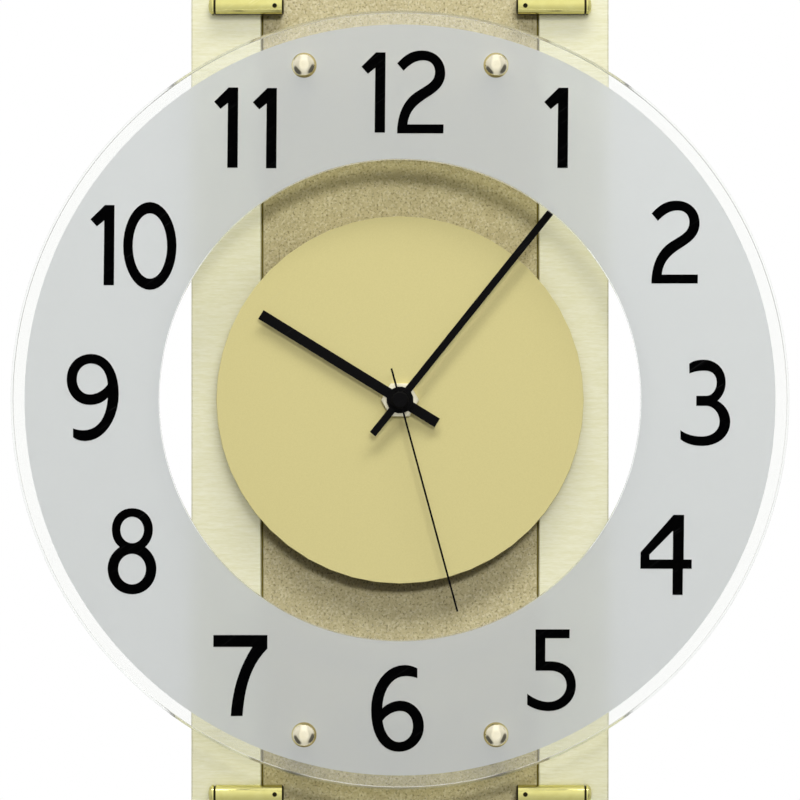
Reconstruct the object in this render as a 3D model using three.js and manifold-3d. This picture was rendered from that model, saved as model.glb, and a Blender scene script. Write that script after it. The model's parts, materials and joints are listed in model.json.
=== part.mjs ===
// Radio-controlled wall clock: a frosted glass dial ring in front of a tall backing panel,
// with a battery movement, its two gear trains and three hands.
//
// Sizes are millimetres. +X is right, +Z is up and the front faces -Y.
// Every piece is drawn in dial coordinates: x right and y up from the hands' axis, and z the
// depth from the wall towards the room. The clock group turns them into the part's frame,
// whose origin lies on the wall face of the hanger plate.

import * as THREE from "three";
import { mergeVertices } from "three/addons/utils/BufferGeometryUtils.js";
import Module from "manifold-3d";

// Clearances, and the laps of the solids that a piece is made from
const fitGap = 0.3; // round what a piece passes through or drops into
const restGap = 0.05; // under a round piece that lies on a flat one
const lap = 0.5; // how far joined solids reach into each other
const overshoot = 1; // how far a cutting tool runs past a face

// Backing panel
const panelHeight = 420;
const panelWidth = 25.5; // one brushed side panel
const panelThickness = 2;
const panelEdge = 0.4; // chamfer round the front of a side panel
const stripWidth = 99.5;
const stripThickness = 2;
const seam = 0.7; // gap between the strip and a side panel
const boardThickness = 16;
const boardInset = 2; // from the panel's outline in to the board's
const cutoutGap = 1; // round the movement in the board and the strip

// Bars that bridge the seams
const barLength = 27;
const barRadius = 3.3;
const barPastStrip = 6; // from the strip's edge out to a bar's middle
const barInset = 67; // from the panel's end in to a bar's axis
const barPinRadius = 1.2;
const barPinDepth = 8; // into the board
const barPinInset = 4.2; // from the strip's edge in to the inner pin
const barPinOutset = 8.5; // from the side panel's edge in to the outer pin
const barInnerEdge = 0.6; // chamfer at the inner end
const barGroove = 0.4; // depth of the groove near the outer end
const barGrooveFloor = 0.4;
const barGrooveSlope = 0.2; // of each of its walls
const barRim = 0.6; // full width between the groove and the end's chamfer
const barOuterEdge = 1; // chamfer at the outer end
const barNub = 0.4; // cone in the middle of the outer end
const barHoleRadius = 0.9; // grub screw hole near the inner end
const barHoleInset = 3.2;
const barHoleDepth = 1.6;

// Glass ring
const ringOuterRadius = 140;
const ringInnerRadius = 86.5;
const ringThickness = 4;
const ringBevel = 0.8;
const ringInnerBevel = 0.4;
const ringStandoff = 17; // from the panel's front to the back of the glass
const ringHoleRadius = 3.5;
const fixingInset = 15; // of the four fixings from the ring's outer edge
const fixingDirection = THREE.MathUtils.degToRad(74); // of a fixing, above the horizontal

// Ring fixings
const sleeveRadius = 4;
const capRadius = 4.5;
const capHeight = 3.6;
const capRim = 0.8; // straight edge below the dome
const domeSteps = 3;
const screwRadius = 2;
const screwDepth = 10; // into the board
const collarRadius = 4.6;
const collarThickness = 0.8; // clear flange between sleeve and glass

// Dial disc and what carries it
const discRadius = 66.5;
const discThickness = 1;
const spacerRadius = 56;
const spacerThickness = 8;
const washerRadius = 9;
const washerThickness = 1.2;

// Movement case
const caseTop = 45; // above the hands' axis
const caseBottom = 30; // below it
const caseDepth = 16.5;
const caseCorner = 3;
const caseWall = 2.2;
const caseFrontWall = 1.8;
const coverThickness = 1.2;
const coverLedge = 1; // step in the case wall that the cover sits on
const coverGap = 0.2;
const neckRadius = 4;
const nutAcrossFlats = 12;
const nutThickness = 1.8;
const nutChamfer = 0.9;
const neckProud = 0.2; // thread that shows past the nut
const plateThickness = 1;
const postRadius = 1.4;
const middlePostY = 23.2; // between the two coils
const sidePostY = 1;
const fingerNotch = 18; // width of the notch that the battery is lifted through
const fingerNotchDepth = 5.5;
const fingerNotchRise = 4.8; // across the case's bottom edge

// Hands
const hourHandLength = 59;
const hourHandWidth = 3.7;
const minuteHandLength = 88;
const minuteHandWidth = 2.6;
const handTail = 15.8;
const secondHandLength = 79;
const secondHandTail = 11.8;
const secondHandWidth = 0.7;
const handThickness = 0.4;
const hourHubRadius = 4.9;
const minuteHubRadius = 3.8;
const secondCapRadius = 3.1;
const secondCapEdge = 0.4;
const secondCapCrown = 0.8; // cap left in front of the shaft's end
const hubHeight = 1.4;
const handSpacing = 0.4; // between one hub and the next
const hourHandTurn = 301.6; // degrees clockwise from twelve
const minuteHandTurn = 38.7;
const secondHandTurn = 164.8;

// Arbors, from the middle outwards
const shaftRadius = 0.5;
const minuteBore = 0.85;
const minuteArborRadius = 1.5;
const hourBore = 1.85;
const hourTubeRadius = 2.5;
const hourCollar = 1.1; // wall of the hour wheel's collar outside the tube
const neckBore = 2.85;
const pivotDepth = 1; // of an arbor's end in the case
const endPlay = 0.2; // past the arbor's end

// Gear trains
const pressureAngle = THREE.MathUtils.degToRad(25);
const fineModule = 0.4; // motor trains
const coarseModule = 0.6; // motion work
const pinionTeeth = 8;
const cannonTeeth = 10;
const motionTeeth = 30;
const hourTeeth = 32;
const handWheelTeeth = 48; // the minute wheel and the second wheel
const idlerTeeth = 40;
const toothThinning = 0.08; // taken off each tooth at its pitch line
const wheelThickness = 1;
const wheelSpacing = 0.8;
const firstWheelLift = 0.5; // from the bearing plate to the rearmost wheel
const wheelAddendum = 0.7; // tooth height in modules
const wheelDedendum = 1.25;
const pinionAddendum = 1;
const pinionDedendum = 1;
const pinionOverlap = 0.2; // a pinion is this much longer than its wheel at each end
const idlerDirection = THREE.MathUtils.degToRad(20);
const rotorDirection = THREE.MathUtils.degToRad(35);

// Motors
const magnetRadius = 3;
const magnetLength = 2.6;
const airGap = 0.5; // round the magnet in its stator
const statorThickness = 1;
const statorRing = 5.2;
const statorArm = 3;
const coreThickness = 1;
const coreWidth = 3;
const coreMiddleGap = 2.4; // from the movement's middle out to a coil core
const coreEndGap = 0.7; // from a core out to the case wall
const coreReach = 4.4; // of a core past its coil at each end
const corePostInset = 1.1; // from the core's end in to its post
const coreLift = 2.4; // from the bearing plate to the back of the coil cores
const coilCentreY = 25;
const coilRadius = 3.2;
const bobbinFlange = 0.8;

// Radio and switches
const cardThickness = 0.8;
const cardHeight = 13.5;
const cardLift = 1.5; // from the cover to the circuit board
const cardPostInset = 2; // from the card's edges in to its posts
const antennaRadius = 4;
const antennaEndGap = 4.3; // from the rod's end out to the case wall
const antennaCentreY = 36;
const antennaCoilRadius = 5;
const antennaCoilLength = 26;
const saddleX = 18.5;
const saddleThickness = 1.6;
const saddleWall = 1; // beside the rod
const buttonRadius = 1.7;
const buttonProud = 0.6; // behind the cover
const buttonSpacing = 10;
const buttonFlange = 0.6;
const buttonFlangeWidth = 0.8;
const buttonChamfer = 0.3;

// Battery and its contacts
const batteryRadius = 7.1;
const batteryLength = 50.5;
const terminalRadius = 2.75;
const terminalLength = 1;
const canEdge = 0.5;
const bayGap = 0.2;
const bayEndWall = 1.2;
const bayFloor = 1.6;
const contactThickness = 0.4;
const contactWidth = 9;
const contactDepth = 11;
const springRoom = 3.7; // between the battery and the end wall
const springWire = 0.6;
const springTurns = 3;
const springInnerRadius = 2.4;
const springOuterRadius = 4.6;

// Wall fittings
const hangerThickness = 1.2;
const hangerWidth = 46;
const hangerHeight = 34;
const hangerInset = 28; // from the panel's top down to the hanger's middle
const keyholeRadius = 4.5;
const keySlotRadius = 2.3;
const keySlotRise = 11; // from the round hole's centre to the slot's end
const pocketDepth = 8; // room for the nail's head in the board
const pocketMargin = 5; // from the hanger's edges in to the pocket
const originInset = 6; // from the hanger's top edge down to the origin
const hangerScrewX = 17;
const hangerScrewHead = 3;
const hangerScrewShank = 1.5;
const hangerScrewLength = 11;
const hangerScrewTip = 2;
const screwSink = 0.1; // of the screw heads below the wall face
const hangerCorner = 3;
const bumperRadius = 6;
const bumperSideInset = 15.95; // from the panel's side in to the bumpers
const bumperInset = 20; // from the panel's foot up to the bumpers

// Depths that the stack gives, from the wall
const boardBack = hangerThickness;
const boardFront = boardBack + boardThickness;
const stripFront = boardFront + stripThickness;
const panelFront = boardFront + panelThickness;
const backingFront = Math.max(stripFront, panelFront);
const spacerFront = stripFront + spacerThickness;
const discFront = spacerFront + discThickness;
const ringBack = stripFront + ringStandoff;
const ringFront = ringBack + ringThickness;
const caseFront = stripFront - washerThickness;
const caseBack = caseFront - caseDepth;
const worksFront = caseFront - caseFrontWall;
const coverFront = caseBack + coverThickness;
const plateBack = coverFront + fitGap;
const plateFront = plateBack + plateThickness;
const coreBack = plateFront + coreLift;
const coreFront = coreBack + coreThickness;
const cardBack = coverFront + cardLift;
const cardFront = cardBack + cardThickness;
const antennaDepth = cardFront + antennaCoilRadius + fitGap;
const arborBack = plateBack;
const arborFront = worksFront + pivotDepth;
const neckEnd = discFront + nutThickness + neckProud;
const hourHubBack = neckEnd + handSpacing;
const minuteHubBack = hourHubBack + hubHeight + handSpacing;
const secondHubBack = minuteHubBack + hubHeight + handSpacing;
const secondShaftEnd = secondHubBack + hubHeight - secondCapCrown;

// Places across the dial that the parts share
const panelCentreX = stripWidth / 2 + seam + panelWidth / 2;
const backingWidth = stripWidth + 2 * (seam + panelWidth);
const barCentreX = stripWidth / 2 + barPastStrip;
const barCentreY = panelHeight / 2 - barInset;
const hangerCentreY = panelHeight / 2 - hangerInset;
const bumperX = backingWidth / 2 - bumperSideInset;
const bumperY = panelHeight / 2 - bumperInset; // below the hands' axis
const fixingX = (ringOuterRadius - fixingInset) * Math.cos(fixingDirection);
const fixingY = (ringOuterRadius - fixingInset) * Math.sin(fixingDirection);
const caseWidth = batteryLength + contactThickness + springRoom + 2 * bayEndWall;
const worksHalf = caseWidth / 2 - caseWall;
const worksTop = caseTop - caseWall;
const bayHalf = caseWidth / 2 - bayEndWall;
const bayBottom = bayFloor - caseBottom;
const bayTop = bayBottom + 2 * (batteryRadius + bayGap);
const worksBottom = bayTop + caseWall;
const coreLength = worksHalf - coreMiddleGap - coreEndGap;
const coilCentreX = coreMiddleGap + coreLength / 2;
const coilLength = coreLength - 2 * coreReach;
const antennaLength = 2 * (worksHalf - antennaEndGap);
const cardBottom = worksTop - fitGap - cardHeight;
const batteryY = (bayBottom + bayTop) / 2;
const batteryDepth = worksFront - batteryRadius - fitGap;
const corners = [
  ["top_left", -1, 1],
  ["top_right", 1, 1],
  ["bottom_left", -1, -1],
  ["bottom_right", 1, -1],
];

// Gear centres
const fineCentre = (fineModule * (pinionTeeth + handWheelTeeth)) / 2;
const rotorCentre = (fineModule * (pinionTeeth + idlerTeeth)) / 2;
const coarseCentre = (coarseModule * (cannonTeeth + motionTeeth)) / 2;
const idlerX = fineCentre * Math.cos(idlerDirection);
const idlerY = fineCentre * Math.sin(idlerDirection);
const rotorX = idlerX + rotorCentre * Math.cos(rotorDirection);
const rotorY = idlerY + rotorCentre * Math.sin(rotorDirection);

/** The back of a wheel, counted in layers from the bearing plate. */
const layerBack = (layer) =>
  plateFront + firstWheelLift + layer * (wheelThickness + wheelSpacing);

const secondIdlerLayer = 0;
const secondLayer = 1;
const minuteIdlerLayer = 2;
const minuteLayer = 3;
const motionLayer = 4;
const hourLayer = 5;

const finishes = {
  brushedGold: { color: 0xe2dcb9, metalness: 0.9, roughness: 0.35 },
  stone: { color: 0xb0a678, metalness: 0, roughness: 0.7 },
  satinBrass: { color: 0xccc487, metalness: 0.8, roughness: 0.45 },
  polishedBrass: { color: 0xe0d487, metalness: 1, roughness: 0.12 },
  paleMetal: { color: 0xdcd4b4, metalness: 1, roughness: 0.25 },
  frostedGlass: { color: 0xd2d2d0, metalness: 0, roughness: 0.4 },
  clearPlastic: { color: 0xeef0ee, metalness: 0, roughness: 0.2 },
  blackPaint: { color: 0x0c0c0c, metalness: 0, roughness: 0.6 },
  boardLacquer: { color: 0x2a2622, metalness: 0, roughness: 0.8 },
  blackPlastic: { color: 0x1b1b1c, metalness: 0, roughness: 0.5 },
  greyPlastic: { color: 0x3a3a3c, metalness: 0, roughness: 0.55 },
  whitePlastic: { color: 0xe9e6da, metalness: 0, roughness: 0.45 },
  steel: { color: 0xb4b6b8, metalness: 1, roughness: 0.35 },
  rubber: { color: 0x202020, metalness: 0, roughness: 0.9 },
  copper: { color: 0xb4683a, metalness: 0.9, roughness: 0.35 },
  ferrite: { color: 0x35353a, metalness: 0.1, roughness: 0.6 },
  circuitGreen: { color: 0x1f5a34, metalness: 0, roughness: 0.5 },
  batteryWrap: { color: 0x3c4a66, metalness: 0.4, roughness: 0.4 },
};

const wasm = await Module();
wasm.setup();

/** The solid that a closed three.js geometry bounds. */
function solidOf(geometry) {
  const open = geometry.index ? geometry.toNonIndexed() : geometry;
  const bare = new THREE.BufferGeometry();
  bare.setAttribute("position", open.getAttribute("position"));
  const merged = mergeVertices(bare, 1e-4);
  const indices = merged.index.array;
  const faces = [];
  for (let i = 0; i < indices.length; i += 3) {
    const [a, b, c] = indices.slice(i, i + 3);
    if (a !== b && b !== c && c !== a) faces.push(a, b, c);
  }
  const vertProperties = merged.getAttribute("position").array;
  const triVerts = new Uint32Array(faces);
  return new wasm.Manifold(new wasm.Mesh({ numProp: 3, vertProperties, triVerts }));
}

/** All the solids as one. */
const join = (...solids) => solids.reduce((whole, solid) => whole.add(solid));

/** The first solid without the others. */
const cut = (whole, ...tools) => tools.reduce((left, tool) => left.subtract(tool), whole);

/** How many facets stand for a circle: an even number that grows with its radius. */
const facetsOf = (radius) => 2 * Math.round(1.2 + 2.85 * Math.sqrt(radius));

/** The points of a circle, anticlockwise. */
function circle(radius, x = 0, y = 0, facets = facetsOf(radius)) {
  return Array.from({ length: facets }, (_, i) => {
    const turn = (2 * Math.PI * i) / facets;
    return new THREE.Vector2(x + radius * Math.cos(turn), y + radius * Math.sin(turn));
  });
}

/** The points of a rectangle, its corners rounded by a radius where one is given. */
function rectangle({ left, bottom, right, top, radius = 0 }) {
  const steps = radius > 0 ? 3 : 0;
  const centres = [
    [right - radius, top - radius],
    [left + radius, top - radius],
    [left + radius, bottom + radius],
    [right - radius, bottom + radius],
  ];
  return centres.flatMap(([x, y], quarter) =>
    Array.from({ length: steps + 1 }, (_, i) => {
      const turn = ((quarter + i / Math.max(steps, 1)) * Math.PI) / 2;
      return new THREE.Vector2(x + radius * Math.cos(turn), y + radius * Math.sin(turn));
    }),
  );
}

/** The points of a rectangle given by its middle and its size. */
const centred = (x, y, width, height, radius = 0) =>
  rectangle({
    left: x - width / 2,
    bottom: y - height / 2,
    right: x + width / 2,
    top: y + height / 2,
    radius,
  });

/** A solid with straight sides: an outline with holes, between two depths. */
function slab(points, back, front, holes = []) {
  const outline = new THREE.Shape(points);
  outline.holes = holes.map((hole) => new THREE.Path(hole));
  const geometry = new THREE.ExtrudeGeometry(outline, { depth: 1, bevelEnabled: false });
  const position = geometry.getAttribute("position");
  for (let i = 0; i < position.count; i += 1) {
    position.setZ(i, position.getZ(i) < 0.5 ? back : front);
  }
  return solidOf(geometry);
}

/** A lathe geometry from a profile that runs anticlockwise as [radius, height]. */
function lathe(profile) {
  const points = profile.map(([radius, height]) => new THREE.Vector2(radius, height));
  if (points[0].x > 0) points.push(points[0].clone());
  const widest = Math.max(...profile.map(([radius]) => radius));
  return new THREE.LatheGeometry(points, facetsOf(widest));
}

/** A solid turned about an axis along the depth, from a profile of [radius, depth]. */
function turned(profile, x = 0, y = 0) {
  const geometry = lathe(profile);
  geometry.rotateX(Math.PI / 2);
  geometry.translate(x, y, 0);
  return solidOf(geometry);
}

/** A solid turned about an axis across the dial, from a profile of [radius, x]. */
function turnedAcross(profile, y, depth) {
  const geometry = lathe(profile);
  geometry.rotateZ(-Math.PI / 2);
  geometry.translate(0, y, depth);
  return solidOf(geometry);
}

/** A plain round rod, boss or drill along the depth. */
const rod = (radius, back, front, x = 0, y = 0) => slab(circle(radius, x, y), back, front);

/** The named mesh of a solid, with its own material. */
function piece(name, solid, finish) {
  const { vertProperties, triVerts } = solid.getMesh();
  const geometry = new THREE.BufferGeometry();
  geometry.setAttribute("position", new THREE.BufferAttribute(vertProperties, 3));
  geometry.setIndex(new THREE.BufferAttribute(triVerts, 1));
  const flat = geometry.toNonIndexed();
  flat.computeVertexNormals();
  const mesh = new THREE.Mesh(flat, new THREE.MeshStandardMaterial(finishes[finish]));
  mesh.name = name;
  return mesh;
}

/** The outline of the movement, grown by a gap all round. */
const movementOutline = (gap) =>
  rectangle({
    left: -caseWidth / 2 - gap,
    bottom: -caseBottom - gap,
    right: caseWidth / 2 + gap,
    top: caseTop + gap,
    radius: caseCorner + gap,
  });

/** Where the pins of one bar enter the panel: one in the strip and one in the side panel. */
const barPins = (sx, sy) => [
  [sx * (stripWidth / 2 - barPinInset), sy * barCentreY],
  [sx * (stripWidth / 2 + seam + barPinOutset), sy * barCentreY],
];

/** Drills for the ring's screws and the bars' pins, between two depths. */
function frontDrills(screwBack, pinBack, front) {
  return corners.flatMap(([, sx, sy]) => [
    rod(screwRadius + fitGap, screwBack, front, sx * fixingX, sy * fixingY),
    ...barPins(sx, sy).map(([x, y]) => rod(barPinRadius + fitGap, pinBack, front, x, y)),
  ]);
}

/** The board that carries everything, with its cut-out for the movement. */
function backBoard() {
  const width = backingWidth - 2 * boardInset;
  const height = panelHeight - 2 * boardInset;
  const board = slab(centred(0, 0, width, height), boardBack, boardFront, [
    movementOutline(cutoutGap),
  ]);
  const pocketWidth = 2 * (hangerScrewX - pocketMargin);
  const pocketHeight = hangerHeight - 2 * pocketMargin;
  const pocket = slab(
    centred(0, hangerCentreY, pocketWidth, pocketHeight, keyholeRadius),
    boardBack - overshoot,
    boardBack + pocketDepth,
  );
  const screwHoles = [-1, 1].map((side) =>
    rod(
      hangerScrewShank + fitGap,
      boardBack - overshoot,
      hangerScrewLength + fitGap,
      side * hangerScrewX,
      hangerCentreY,
    ),
  );
  const drills = frontDrills(
    boardFront - screwDepth,
    boardFront - barPinDepth,
    boardFront + overshoot,
  );
  return piece("back_board", cut(board, pocket, ...screwHoles, ...drills), "boardLacquer");
}

/** The stone strip down the middle. */
function stoneStrip() {
  const strip = slab(centred(0, 0, stripWidth, panelHeight), boardFront, stripFront, [
    movementOutline(cutoutGap),
  ]);
  const behind = boardFront - overshoot;
  const drills = frontDrills(behind, behind, stripFront + overshoot);
  return piece("stone_strip", cut(strip, ...drills), "stone");
}

/** One brushed side panel, its front edges chamfered. */
function sidePanel(name, side) {
  const body = new THREE.BoxGeometry(panelWidth, panelHeight, panelThickness, 1, 1, 2);
  const position = body.getAttribute("position");
  const depths = [boardFront, panelFront - panelEdge, panelFront];
  for (let i = 0; i < position.count; i += 1) {
    const layer = 1 + Math.sign(position.getZ(i));
    const inset = layer === 2 ? panelEdge : 0;
    position.setX(i, side * panelCentreX + Math.sign(position.getX(i)) * (panelWidth / 2 - inset));
    position.setY(i, Math.sign(position.getY(i)) * (panelHeight / 2 - inset));
    position.setZ(i, depths[layer]);
  }
  const behind = boardFront - overshoot;
  const drills = frontDrills(behind, behind, panelFront + overshoot);
  return piece(name, cut(solidOf(body), ...drills), "brushedGold");
}

/** One polished bar across a seam, with its groove and cap at the outer end and two pins. */
function bar(name, sx, sy) {
  const outer = barCentreX + barLength / 2;
  const inner = barCentreX - barLength / 2;
  const grooved = barRadius - barGroove;
  const chamfer = outer - barOuterEdge;
  const grooveFront = chamfer - barRim - barGrooveSlope;
  const grooveBack = grooveFront - barGrooveFloor;
  const profile = [
    [0, inner],
    [barRadius - barInnerEdge, inner],
    [barRadius, inner + barInnerEdge],
    [barRadius, grooveBack - barGrooveSlope],
    [grooved, grooveBack],
    [grooved, grooveFront],
    [barRadius, grooveFront + barGrooveSlope],
    [barRadius, chamfer],
    [barRadius - barOuterEdge, outer],
    [0, outer + barNub],
  ];
  const y = sy * barCentreY;
  const depth = backingFront + barRadius + restGap;
  const shape = turnedAcross(profile, y, depth);
  const pins = barPins(sx, sy).map(([x]) =>
    rod(barPinRadius, boardFront - barPinDepth, depth, x, y),
  );
  const hole = rod(
    barHoleRadius,
    depth + barRadius - barHoleDepth,
    depth + barRadius + overshoot,
    sx * (inner + barHoleInset),
    y,
  );
  const body = sx > 0 ? shape : shape.mirror([1, 0, 0]);
  return piece(name, cut(join(body, ...pins), hole), "polishedBrass");
}

/** The glass ring, bevelled at both edges and drilled for its four fixings. */
function glassRing() {
  const ring = turned([
    [ringInnerRadius + ringInnerBevel, ringBack],
    [ringOuterRadius - ringBevel, ringBack],
    [ringOuterRadius, ringBack + ringBevel],
    [ringOuterRadius, ringFront - ringBevel],
    [ringOuterRadius - ringBevel, ringFront],
    [ringInnerRadius + ringInnerBevel, ringFront],
    [ringInnerRadius, ringFront - ringInnerBevel],
    [ringInnerRadius, ringBack + ringInnerBevel],
  ]);
  const drills = corners.map(([, sx, sy]) =>
    rod(ringHoleRadius, ringBack - overshoot, ringFront + overshoot, sx * fixingX, sy * fixingY),
  );
  return piece("glass_ring", cut(ring, ...drills), "frostedGlass");
}

/** Sleeve, clear collar and domed cap screw of one ring fixing. */
function ringFixing(name, sx, sy) {
  const x = sx * fixingX;
  const y = sy * fixingY;
  const bore = screwRadius + fitGap;
  const collarBack = ringBack - collarThickness;
  const collarNeck = ringHoleRadius - fitGap;
  const sleeve = turned(
    [
      [bore, stripFront],
      [sleeveRadius, stripFront],
      [sleeveRadius, collarBack],
      [bore, collarBack],
    ],
    x,
    y,
  );
  const collar = turned(
    [
      [bore, collarBack],
      [collarRadius, collarBack],
      [collarRadius, ringBack],
      [collarNeck, ringBack],
      [collarNeck, ringFront - fitGap],
      [bore, ringFront - fitGap],
    ],
    x,
    y,
  );
  const dome = Array.from({ length: domeSteps }, (_, i) => {
    const rise = (i * Math.PI) / 2 / domeSteps;
    const height = capRim + (capHeight - capRim) * Math.sin(rise);
    return [capRadius * Math.cos(rise), ringFront + height];
  });
  const cap = turned(
    [
      [0, boardFront - screwDepth],
      [screwRadius, boardFront - screwDepth],
      [screwRadius, ringFront],
      [capRadius, ringFront],
      ...dome,
      [0, ringFront + capHeight],
    ],
    x,
    y,
  );
  return [
    piece(`standoff_${name}`, sleeve, "polishedBrass"),
    piece(`ring_collar_${name}`, collar, "clearPlastic"),
    piece(`ring_cap_${name}`, cap, "polishedBrass"),
  ];
}

/** The disc, its spacer, the washer and the hex nut that clamp the movement. */
function dialStack() {
  const hole = circle(neckRadius + fitGap);
  const nutFront = discFront + nutThickness;
  const cornerRadius = nutAcrossFlats / Math.sqrt(3);
  const hexagon = circle(cornerRadius, 0, 0, 6);
  const nut = slab(hexagon, discFront, nutFront, [hole]).intersect(
    turned([
      [0, discFront],
      [cornerRadius + nutChamfer, discFront],
      [cornerRadius + nutChamfer, nutFront - nutChamfer],
      [nutAcrossFlats / 2, nutFront],
      [0, nutFront],
    ]),
  );
  return [
    piece("dial_disc", slab(circle(discRadius), spacerFront, discFront, [hole]), "satinBrass"),
    piece(
      "dial_spacer",
      slab(circle(spacerRadius), stripFront, spacerFront, [hole]),
      "blackPlastic",
    ),
    piece("rubber_washer", slab(circle(washerRadius), caseFront, stripFront, [hole]), "rubber"),
    piece("hex_nut", nut, "paleMetal"),
  ];
}

/** The straight blade of a hand, from its tail to its tip. */
const blade = (width, tail, length, back) =>
  slab(
    rectangle({ left: -width / 2, bottom: -tail, right: width / 2, top: length }),
    back,
    back + handThickness,
  );

/** A hand with a raised hub that goes over its arbor, turned clockwise from twelve. */
function hubbedHand({ length, width, hubRadius, arborRadius, back, turn }) {
  const front = back + hubHeight;
  const solid = cut(
    join(blade(width, handTail, length, back), rod(hubRadius, back, front)),
    rod(arborRadius + fitGap, back - overshoot, front + overshoot),
  );
  return solid.rotate([0, 0, -turn]);
}

/** The second hand: a needle under a cap that hides the end of its shaft. */
function cappedHand() {
  const front = secondHubBack + hubHeight;
  const cap = turned([
    [0, secondHubBack],
    [secondCapRadius, secondHubBack],
    [secondCapRadius, front - secondCapEdge],
    [secondCapRadius - secondCapEdge, front],
    [0, front],
  ]);
  const socket = rod(shaftRadius + fitGap, secondHubBack - overshoot, secondShaftEnd + fitGap);
  const needle = blade(secondHandWidth, secondHandTail, secondHandLength, secondHubBack);
  return cut(join(needle, cap), socket).rotate([0, 0, -secondHandTurn]);
}

/** The three hands. */
function hands() {
  const hour = hubbedHand({
    length: hourHandLength,
    width: hourHandWidth,
    hubRadius: hourHubRadius,
    arborRadius: hourTubeRadius,
    back: hourHubBack,
    turn: hourHandTurn,
  });
  const minute = hubbedHand({
    length: minuteHandLength,
    width: minuteHandWidth,
    hubRadius: minuteHubRadius,
    arborRadius: minuteArborRadius,
    back: minuteHubBack,
    turn: minuteHandTurn,
  });
  return [
    piece("hour_hand", hour, "blackPaint"),
    piece("minute_hand", minute, "blackPaint"),
    piece("second_hand", cappedHand(), "blackPaint"),
  ];
}

/** Where the arbors beside the hands' axis stand: idlers, rotors and the motion wheel. */
const arborPlaces = [
  [idlerX, idlerY],
  [-idlerX, idlerY],
  [rotorX, rotorY],
  [-rotorX, rotorY],
  [0, coarseCentre],
];

/** The two posts at the ends of the coil core on one side. */
const corePosts = (side) =>
  [-1, 1].map((end) => [
    side * (coilCentreX + end * (coreLength / 2 - corePostInset)),
    coilCentreY,
  ]);

/** A round bar on the antenna's axis. */
const antennaBar = (radius, length) =>
  turnedAcross(
    [
      [0, -length / 2],
      [radius, -length / 2],
      [radius, length / 2],
      [0, length / 2],
    ],
    antennaCentreY,
    antennaDepth,
  );

/** The posts inside the case, which carry the bearing plate, the cores and the circuit board. */
function casePosts() {
  const postX = worksHalf - postRadius + lap;
  const places = [-1, 1].flatMap((side) => [
    [side * postX, worksBottom + postRadius - lap, plateFront],
    [side * postX, sidePostY, plateFront],
    [side * postX, cardBottom + cardPostInset, cardFront],
    [side * postX, cardBottom + cardHeight - cardPostInset, cardFront],
  ]);
  places.push([0, middlePostY, plateFront]);
  places.push(...corePosts(1).map(([x, y]) => [x, y, coreFront]));
  places.push(...corePosts(-1).map(([x, y]) => [x, y, coreFront + statorThickness]));
  return places.map(([x, y, end]) => rod(postRadius, end, worksFront + lap, x, y));
}

/** The two saddles that hold the ferrite rod. */
function antennaSaddles() {
  const height = 2 * (antennaRadius + saddleWall);
  return [-1, 1].map((side) =>
    slab(
      centred(side * saddleX, antennaCentreY, saddleThickness, height),
      antennaDepth,
      worksFront + lap,
    ),
  );
}

/** The case of the movement: works above, battery bay below, threaded neck in front. */
function movementCase() {
  const behind = caseBack - overshoot;
  const works = { left: -worksHalf, bottom: worksBottom, right: worksHalf, top: worksTop };
  const ledge = {
    left: works.left - coverLedge,
    bottom: works.bottom - coverLedge,
    right: works.right + coverLedge,
    top: works.top + coverLedge,
  };
  const bay = { left: -bayHalf, bottom: bayBottom, right: bayHalf, top: bayTop };
  const shell = cut(
    slab(movementOutline(0), caseBack, caseFront),
    slab(rectangle(works), behind, worksFront),
    slab(rectangle(ledge), behind, coverFront),
    slab(rectangle(bay), behind, worksFront),
    slab(centred(0, -caseBottom, fingerNotch, fingerNotchRise), behind, caseBack + fingerNotchDepth),
  );
  const neck = rod(neckRadius, caseFront - lap, neckEnd);
  const solid = join(shell, neck, ...casePosts(), ...antennaSaddles());
  const pivots = arborPlaces.map(([x, y]) =>
    rod(shaftRadius + fitGap, worksFront - overshoot, arborFront + endPlay, x, y),
  );
  return cut(
    solid,
    antennaBar(antennaRadius + fitGap, antennaLength),
    rod(neckBore, worksFront - overshoot, neckEnd + overshoot),
    ...pivots,
  );
}

/** The places of the three buttons across the cover. */
const buttonPlaces = [
  ["set_button", -buttonSpacing],
  ["receive_button", 0],
  ["reset_button", buttonSpacing],
];

/** The rear cover with its three button holes. */
function movementCover() {
  const reach = coverLedge - coverGap;
  const outline = rectangle({
    left: -worksHalf - reach,
    bottom: worksBottom - reach,
    right: worksHalf + reach,
    top: worksTop + reach,
  });
  const holes = buttonPlaces.map(([, x]) => circle(buttonRadius + fitGap, x, antennaCentreY));
  return slab(outline, caseBack, coverFront, holes);
}

/** A push button that reaches out behind the cover, with a flange that keeps it in. */
function button(name, x) {
  const end = caseBack - buttonProud;
  const flangeBack = coverFront + restGap;
  const flangeRadius = buttonRadius + buttonFlangeWidth;
  const solid = turned(
    [
      [0, end],
      [buttonRadius - buttonChamfer, end],
      [buttonRadius, end + buttonChamfer],
      [buttonRadius, flangeBack],
      [flangeRadius, flangeBack],
      [flangeRadius, flangeBack + buttonFlange],
      [0, flangeBack + buttonFlange],
    ],
    x,
    antennaCentreY,
  );
  return piece(name, solid, "whitePlastic");
}

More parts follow.
